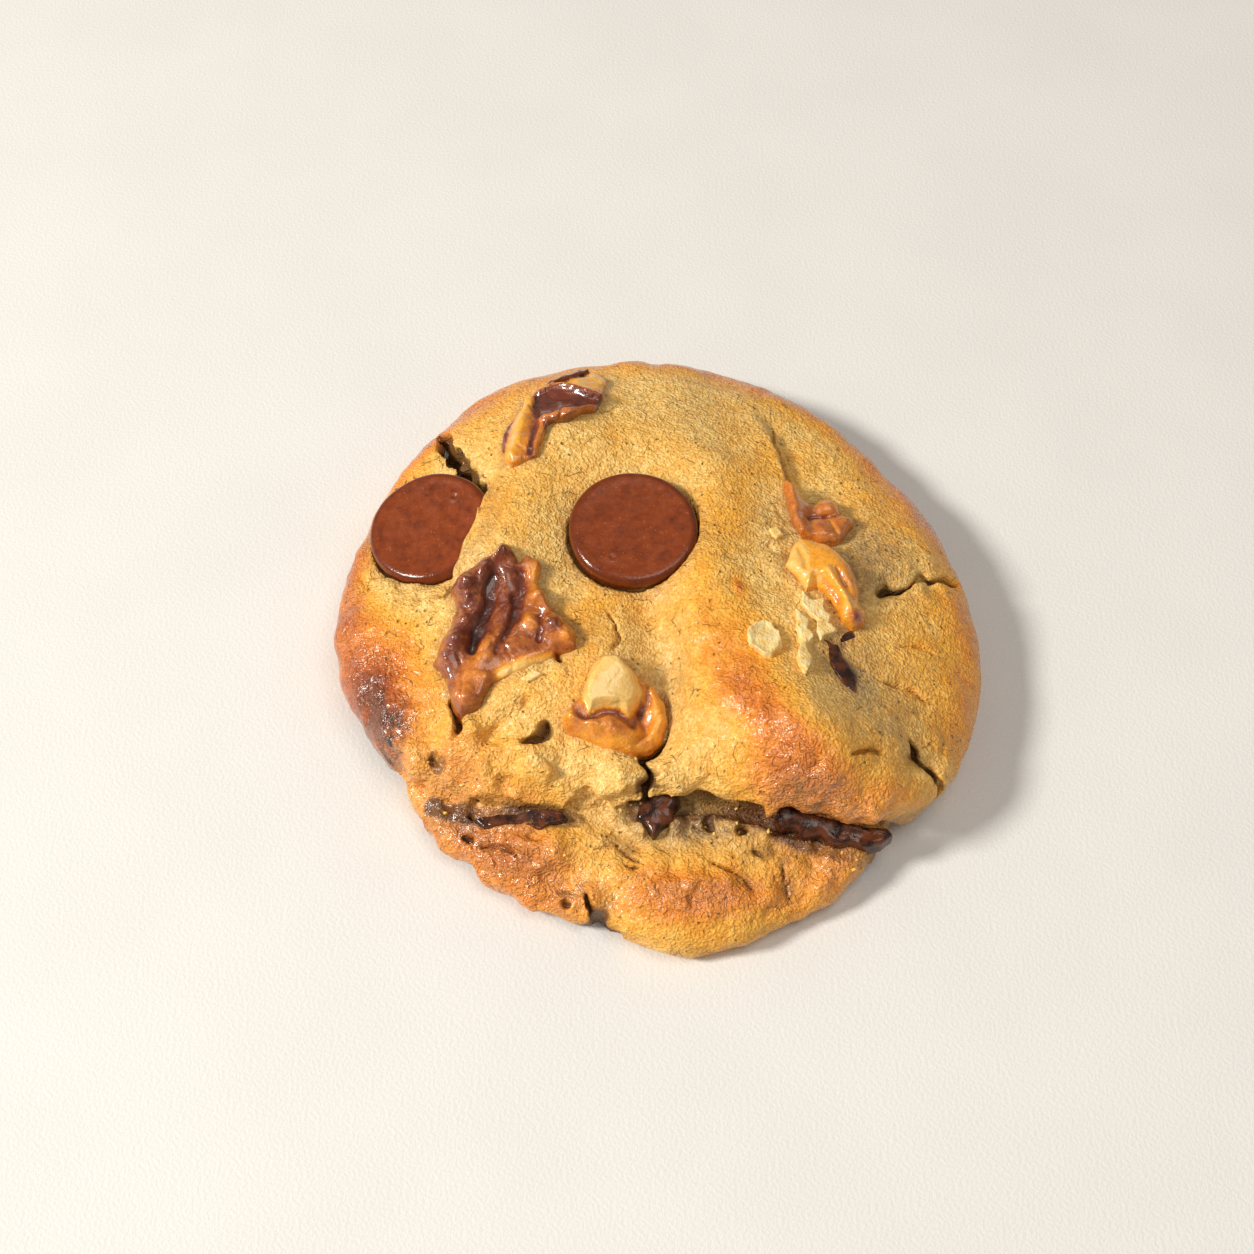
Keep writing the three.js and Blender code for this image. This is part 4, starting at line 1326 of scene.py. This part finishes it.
class DoughLook(bpy.types.PropertyGroup):
    cube: length("Cube", "Side of the cubes that the dough is worked out in", 0.00042)
    triangles: bpy.props.IntProperty(
        name="Triangles", description="Triangles of the finished dough", default=190000, min=1000
    )
    lump_height: length("Lump height", "Height of the broad lumps", 0.0004)
    grain_height: length("Grain height", "Height of the fine lumps", 0.00012)
    pale: colour("Pale", "Least baked dough", (0.98, 0.69, 0.24))
    golden: colour("Golden", "Golden dough", (0.98, 0.51, 0.065))
    orange: colour("Orange", "Browned high places", (0.88, 0.29, 0.024))
    brown: colour("Brown", "Well browned places", (0.55, 0.13, 0.016))
    dark: colour("Dark", "Darkest baked places", (0.24, 0.06, 0.014))
    crumb: colour("Crumb", "Torn inner dough", (0.96, 0.64, 0.21))
    # Chocolate stain colour, also used for painted shade round and beside walnuts and under the lip.
    stain_and_shade: colour("Stain and shade", "Dough greyed by chocolate, and painted shade", (0.31, 0.21, 0.115))
    burnt: colour("Burnt", "The scorched spot", (0.035, 0.012, 0.008))
    # Painted shade deep in the cracks and in the hollows under the lip.
    inside: colour("Inside", "Painted shade in the cracks and hollows", (0.10, 0.032, 0.009))
    # Painted shade in pores and hairline cracks.
    pore: colour("Pore", "Painted shade in pores and hairline cracks", (0.22, 0.08, 0.02))


class ToppingLook(bpy.types.PropertyGroup):
    nut_cube: length("Nut cube", "Side of the cubes that a walnut is worked out in", 0.0002)
    disc: colour("Disc", "Chocolate disc", (0.24, 0.043, 0.006))
    disc_dark: colour("Disc, dark", "Darker clouds of the disc", (0.11, 0.018, 0.004))
    disc_bloom: colour("Disc bloom", "Specks and scratches on the disc", (0.50, 0.20, 0.10))
    disc_roughness: fraction("Disc roughness", "Roughness of the disc's face", 0.42)
    melted: colour("Melted", "Melted chocolate", (0.12, 0.032, 0.010))
    melted_dark: colour("Melted, dark", "Its darker clouds", (0.020, 0.006, 0.004))
    kernel: colour("Kernel", "Cream walnut flesh", (0.92, 0.59, 0.175))
    flake: colour("Flake", "Pale nut chip and flakes", (0.95, 0.76, 0.38))
    kernel_gold: colour("Kernel, golden", "Golden walnut flesh", (1.0, 0.42, 0.022))
    skin: colour("Skin", "Orange-brown walnut skin", (0.66, 0.20, 0.022))
    skin_red: colour("Skin, red", "Red-brown walnut skin", (0.19, 0.032, 0.008))
    skin_dark: colour("Skin, dark", "Dark walnut skin", (0.055, 0.010, 0.005))
    nut_gloss: fraction("Nut gloss", "Oily coat on the walnuts", 0.85)
    crumb_number: plain_number("Crumbs", "Crumbs on each square metre of torn dough", 60000.0)
    crumb_small: length("Smallest crumb", "Radius of the smallest crumbs", 0.00012)
    crumb_large: length("Largest crumb", "Radius of the largest crumbs", 0.00032)


class StageLook(bpy.types.PropertyGroup):
    floor: colour("Floor", "Pale studio floor", (0.80, 0.79, 0.77))
    key_power: plain_number("Key light", "Power of the light from the left", 15.0, unit="POWER")
    fill_power: plain_number("Fill light", "Power of the broad light from above", 2.7, unit="POWER")
    sky: plain_number("Room light", "Strength of the even light of the room", 0.25)


# Operators

def find_group(name, build):
    return bpy.data.node_groups.get(name) or build()


class COOKIE_OT_dough(bpy.types.Operator):
    """Model the dough with its lobes, cracks and torn patches"""

    bl_idname = "cookie.dough"
    bl_label = "Dough"

    def execute(self, context):
        look = context.scene.cookie_dough
        low, high = (np.array(corner) / MM + FOOTPRINT_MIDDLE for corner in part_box("cookie"))
        cube = look.cube / MM
        block = Block((low[0] - 3, low[1] - 3, -2 * cube), high + 3, cube)
        field = dough_field(block, look)
        points, quads = largest_only(*surface_of(field, block))
        base = points[:, 2] < 0.02
        points = relaxed(points, quads, 0.35, 1)
        points[:, 2] = np.where(base, 0, np.maximum(points[:, 2], 0))
        material = dough_material(look, find_group("Baked crumb", crumb_group))
        made = mesh_object("dough", points, quads.tolist(), material)
        close_base(made)
        thinned(made, look.triangles)
        points = points_of(made)
        noise = [sampled(block.lumps(size, seed), block, points) for size, seed in ((11.0, 21), (4.0, 22))]
        set_masks(made, dough_masks(points, noise))
        dress(made, "cookie")
        return {"FINISHED"}


class COOKIE_OT_discs(bpy.types.Operator):
    """Model the two chocolate discs"""

    bl_idname = "cookie.discs"
    bl_label = "Chocolate discs"

    def execute(self, context):
        material = disc_material(context.scene.cookie_toppings, find_group("Oily sheen", sheen_group))
        sides = DISC_SIDES
        for name, disc in DISCS.items():
            rounds = np.linspace(-np.pi / 2, np.pi / 2, 9)
            half = DISC_THICK / 2
            lower = [(r, -half) for r in np.linspace(0, DISC_RADIUS - DISC_EDGE, 12)[1:-1]]
            corner = [
                (
                    DISC_RADIUS - DISC_EDGE + DISC_EDGE * np.cos(a),
                    np.sign(a + 1e-9) * (half - DISC_EDGE) + DISC_EDGE * np.sin(a),
                )
                for a in rounds
            ]
            upper = [(r, half) for r in np.linspace(0, DISC_RADIUS - DISC_EDGE, 34)[1:-1][::-1]]
            profile = np.array(lower + corner + upper)
            turn = np.linspace(0, 2 * np.pi, sides, endpoint=False)
            ring = np.stack(
                [
                    profile[:, 0][:, None] * np.cos(turn),
                    profile[:, 0][:, None] * np.sin(turn),
                    np.repeat(profile[:, 1][:, None], sides, axis=1),
                ],
                axis=-1,
            ).reshape(-1, 3)
            points = np.concatenate([[[0, 0, -half]], ring, [[0, 0, half]]])
            rows = len(profile)
            faces = [[0, 1 + (i + 1) % sides, 1 + i] for i in range(sides)]
            for row in range(rows - 1):
                for i in range(sides):
                    a, b = 1 + row * sides + i, 1 + row * sides + (i + 1) % sides
                    faces.append([a, b, b + sides, a + sides])
            top = 1 + (rows - 1) * sides
            last = len(points) - 1
            faces += [[last, top + i, top + (i + 1) % sides] for i in range(sides)]
            rim = smooth((np.hypot(points[:, 0], points[:, 1]) - DISC_RADIUS + 1.6) / 0.9)
            points = self.melted(points, disc)
            axes = np.array(Euler([np.radians(a) for a in disc["tilt"]] + [0.0]).to_matrix())
            points = points @ axes.T + disc["at"]
            made = mesh_object(name + "_face", points, faces, material, {"rim": rim})
            dress(made, name)
        return {"FINISHED"}

    def melted(self, points, disc):
        """Softens a disc's face and wall, as baking does."""
        block = Block((-14, -14, -4), (14, 14, 4), 0.5)
        x, y, z = points.T
        rho = np.hypot(x, y)
        over = smooth(z / 1.0)
        wave = sampled(block.lumps(7.0, disc["seed"]), block, points)
        small = sampled(block.lumps(2.6, disc["seed"] + 10), block, points)
        dish = -0.22 * np.exp(-((rho / 8.5) ** 4)) + 0.12 * np.exp(-(((rho - 9.8) / 0.8) ** 2))
        dx, dy = x - disc["dimple"][0], y - disc["dimple"][1]
        away = np.hypot(dx, dy)
        pit = 0.22 * np.exp(-(((away - 0.75) / 0.32) ** 2)) - 0.25 * np.exp(-((away / 0.5) ** 2))
        moved = points.copy()
        moved[:, 2] += over * (dish + pit + 0.10 * wave + 0.03 * small)
        grow = 1 + (0.012 * wave + 0.004 * small) * smooth(rho / 9)
        moved[:, 0] *= grow
        moved[:, 1] *= grow
        return moved


class COOKIE_OT_walnuts(bpy.types.Operator):
    """Model the walnut pieces, the pale chip and the flakes"""

    bl_idname = "cookie.walnuts"
    bl_label = "Walnuts"

    def execute(self, context):
        look = context.scene.cookie_toppings
        sheen = find_group("Oily sheen", sheen_group)
        crumb = find_group("Baked crumb", crumb_group)
        nut = walnut_material(look, sheen)
        pale = pale_material(look, crumb)
        cube = look.nut_cube / MM
        for number, (name, form) in enumerate(WALNUTS.items()):
            block = outline_block(form["outline"], cube, form["rise"] + 2.4, NUT_DEPTH)
            top, toast = nut_form(block, form)
            folds = np.exp(-((block.lumps(3.6, 31 + number) / 0.13) ** 2))
            folds = np.maximum(folds, 0.6 * np.exp(-((block.lumps(2.0, 35 + number) / 0.13) ** 2)))
            creased = 5 * form["crumple_and_shade"]
            rough = 0.4 + creased
            wavy = rough * (0.25 * block.lumps(2.2, 41 + number) + 0.13 * block.lumps(1.1, 51 + number))
            field = on_dough(block, form["outline"], form["edge"], top, NUT_DEPTH, 0.5 * wavy)
            points, quads = largest_only(*surface_of(field + wavy - 0.5 * creased * folds, block))
            points = relaxed(points, quads, 0.3, 1)
            # The crease mask marks the folds cut into the walnut; the skin is darkened along them, vein
            # colour and painted shade in the grooves.
            creases = creased * sampled(folds, block, points)
            masks = {"toast": sampled(toast, block, points), "crease": creases}
            made = mesh_object(name + "_kernel", points, quads.tolist(), nut, masks)
            dress(made, name)
        for number, (name, (outline, height)) in enumerate(FLAKES.items()):
            block = outline_block(outline, cube * 0.8, height + 0.6, FLAKE_DEPTH)
            x, y = block.x[:, :, 0], block.y[:, :, 0]
            dip = height - 0.45 * smooth(inside(x, y, outline) / 1.4)[:, :, None] * (name == "nut_chip")
            ragged = 0.16 * block.lumps(1.1, 61 + number) + 0.10 * block.lumps(0.6, 71 + number)
            field = on_dough(block, outline, 0.3, dip, FLAKE_DEPTH, 1.6 * ragged)
            points, quads = largest_only(*surface_of(field + 0.4 * ragged, block))
            made = mesh_object(name, points, quads.tolist(), pale)
            dress(made, None)
        return {"FINISHED"}


class COOKIE_OT_melted(bpy.types.Operator):
    """Model the melted chocolate in the split and on the top"""

    bl_idname = "cookie.melted"
    bl_label = "Melted chocolate"

    def execute(self, context):
        look = context.scene.cookie_toppings
        material = melted_material(look, find_group("Oily sheen", sheen_group))
        pools = {name: (*row, POOL_DEPTH, under_lip) for name, row in MELTED.items()}
        pools["chocolate_top"] = (STREAK, 0.3, 0.0, STREAK_DEPTH, upper_top)
        for number, (name, (outline, height, slope, depth, lie)) in enumerate(pools.items()):
            block = outline_block(outline, 0.22, height + 2.4, depth, lie)
            back = np.array(outline)[:, 1].min() + 2.0
            top = height + slope * np.maximum(block.y - back, 0)
            wavy = 0.35 * block.lumps(2.6, 71 + number) + 0.14 * block.lumps(1.2, 81 + number)
            field = on_dough(block, outline, 1.1, top + wavy, depth, 0.5 * wavy + 0.2, lie)
            points, quads = largest_only(*surface_of(field, block))
            points = relaxed(points, quads, 0.4, 1)
            made = mesh_object(name + "_pool", points, quads.tolist(), material)
            dress(made, name)
        return {"FINISHED"}


class COOKIE_OT_crumbs(bpy.types.Operator):
    """Scatter loose crumbs where the dough is torn"""

    bl_idname = "cookie.crumbs"
    bl_label = "Crumbs"

    def execute(self, context):
        look = context.scene.cookie_toppings
        material = crumbs_material(context.scene.cookie_dough, find_group("Baked crumb", crumb_group))
        values = {
            "Per square metre": look.crumb_number,
            "Smallest": look.crumb_small,
            "Largest": look.crumb_large,
            "Seed": 5,
        }
        made = scattered("crumbs", bpy.data.objects["dough"], crumbs_tree(material), values)
        dress(made, None)
        return {"FINISHED"}


class COOKIE_OT_stage(bpy.types.Operator):
    """Lay the pale floor and set the soft lights and the camera"""

    bl_idname = "cookie.stage"
    bl_label = "Stage"

    def execute(self, context):
        scene = context.scene
        look = scene.cookie_stage
        scene.view_settings.view_transform = "Standard"
        made, tree = new_material("Pale floor")
        place = millimetres(tree)
        faint = ranged(tree, speckle(tree, place, 30.0, 3.0), 0.3, 0.7)
        soft = tuple(0.97 * c for c in look.floor)
        colour = mixed(tree, faint, soft, look.floor)
        surface(tree, colour, 0.6, speckle(tree, place, 0.6), 0.15)
        far = FLOOR_REACH / MM
        corners = np.array([(-far, -far), (far, -far), (far, far), (-far, far)])
        points = np.column_stack([corners, np.zeros(4)]) + FOOTPRINT_MIDDLE
        floor = mesh_object("floor", points, [[0, 1, 2, 3]], made)
        self.light("key_light", (-0.90, -0.20, 0.80), 0.27, look.key_power, (1.0, 0.95, 0.87))
        self.light("fill_light", (0.24, -0.14, 0.96), 0.6, look.fill_power, (1.0, 0.96, 0.90))
        world = bpy.data.worlds.new("Room")
        world.use_nodes = True
        world.node_tree.nodes["Background"].inputs["Color"].default_value = (1.0, 0.95, 0.88, 1.0)
        world.node_tree.nodes["Background"].inputs["Strength"].default_value = look.sky
        scene.world = world
        data = bpy.data.cameras.new("view")
        data.sensor_width = SENSOR
        data.lens = LENS
        camera = bpy.data.objects.new("view", data)
        camera.location = (np.array(VIEW_FROM) - FOOTPRINT_MIDDLE) * MM
        camera.rotation_euler = (np.radians(90 - VIEW_DOWN), 0, 0)
        scene.collection.objects.link(camera)
        scene.camera = camera
        return {"FINISHED"}

    def light(self, name, place, size, power, tint):
        data = bpy.data.lights.new(name, "AREA")
        data.shape = "DISK"
        data.size = size
        data.energy = power
        data.color = tint
        made = bpy.data.objects.new(name, data)
        made.location = place
        made.rotation_euler = (-Vector(place)).to_track_quat("-Z", "Y").to_euler()
        bpy.context.scene.collection.objects.link(made)


class COOKIE_PT_panel(bpy.types.Panel):
    """The cookie's steps and looks"""

    bl_idname = "COOKIE_PT_panel"
    bl_label = "Chocolate chip cookie"
    bl_space_type = "VIEW_3D"
    bl_region_type = "UI"
    bl_category = "Cookie"

    def draw(self, context):
        for step in STEPS:
            self.layout.operator(step.bl_idname)
        for name, kind in LOOKS.items():
            box = self.layout.box()
            for key in kind.__annotations__:
                box.prop(getattr(context.scene, name), key)


LOOKS = {"cookie_dough": DoughLook, "cookie_toppings": ToppingLook, "cookie_stage": StageLook}
STEPS = (
    COOKIE_OT_stage,
    COOKIE_OT_dough,
    COOKIE_OT_discs,
    COOKIE_OT_walnuts,
    COOKIE_OT_melted,
    COOKIE_OT_crumbs,
)


def register():
    for kind in (*LOOKS.values(), *STEPS, COOKIE_PT_panel):
        bpy.utils.register_class(kind)
    for name, kind in LOOKS.items():
        setattr(bpy.types.Scene, name, bpy.props.PointerProperty(type=kind))


def unregister():
    for name in LOOKS:
        delattr(bpy.types.Scene, name)
    for kind in (COOKIE_PT_panel, *reversed(STEPS), *reversed(list(LOOKS.values()))):
        bpy.utils.unregister_class(kind)


def main():
    register()
    for step in STEPS:
        area, name = step.bl_idname.split(".")
        getattr(getattr(bpy.ops, area), name)()


if __name__ == "__main__":
    main()
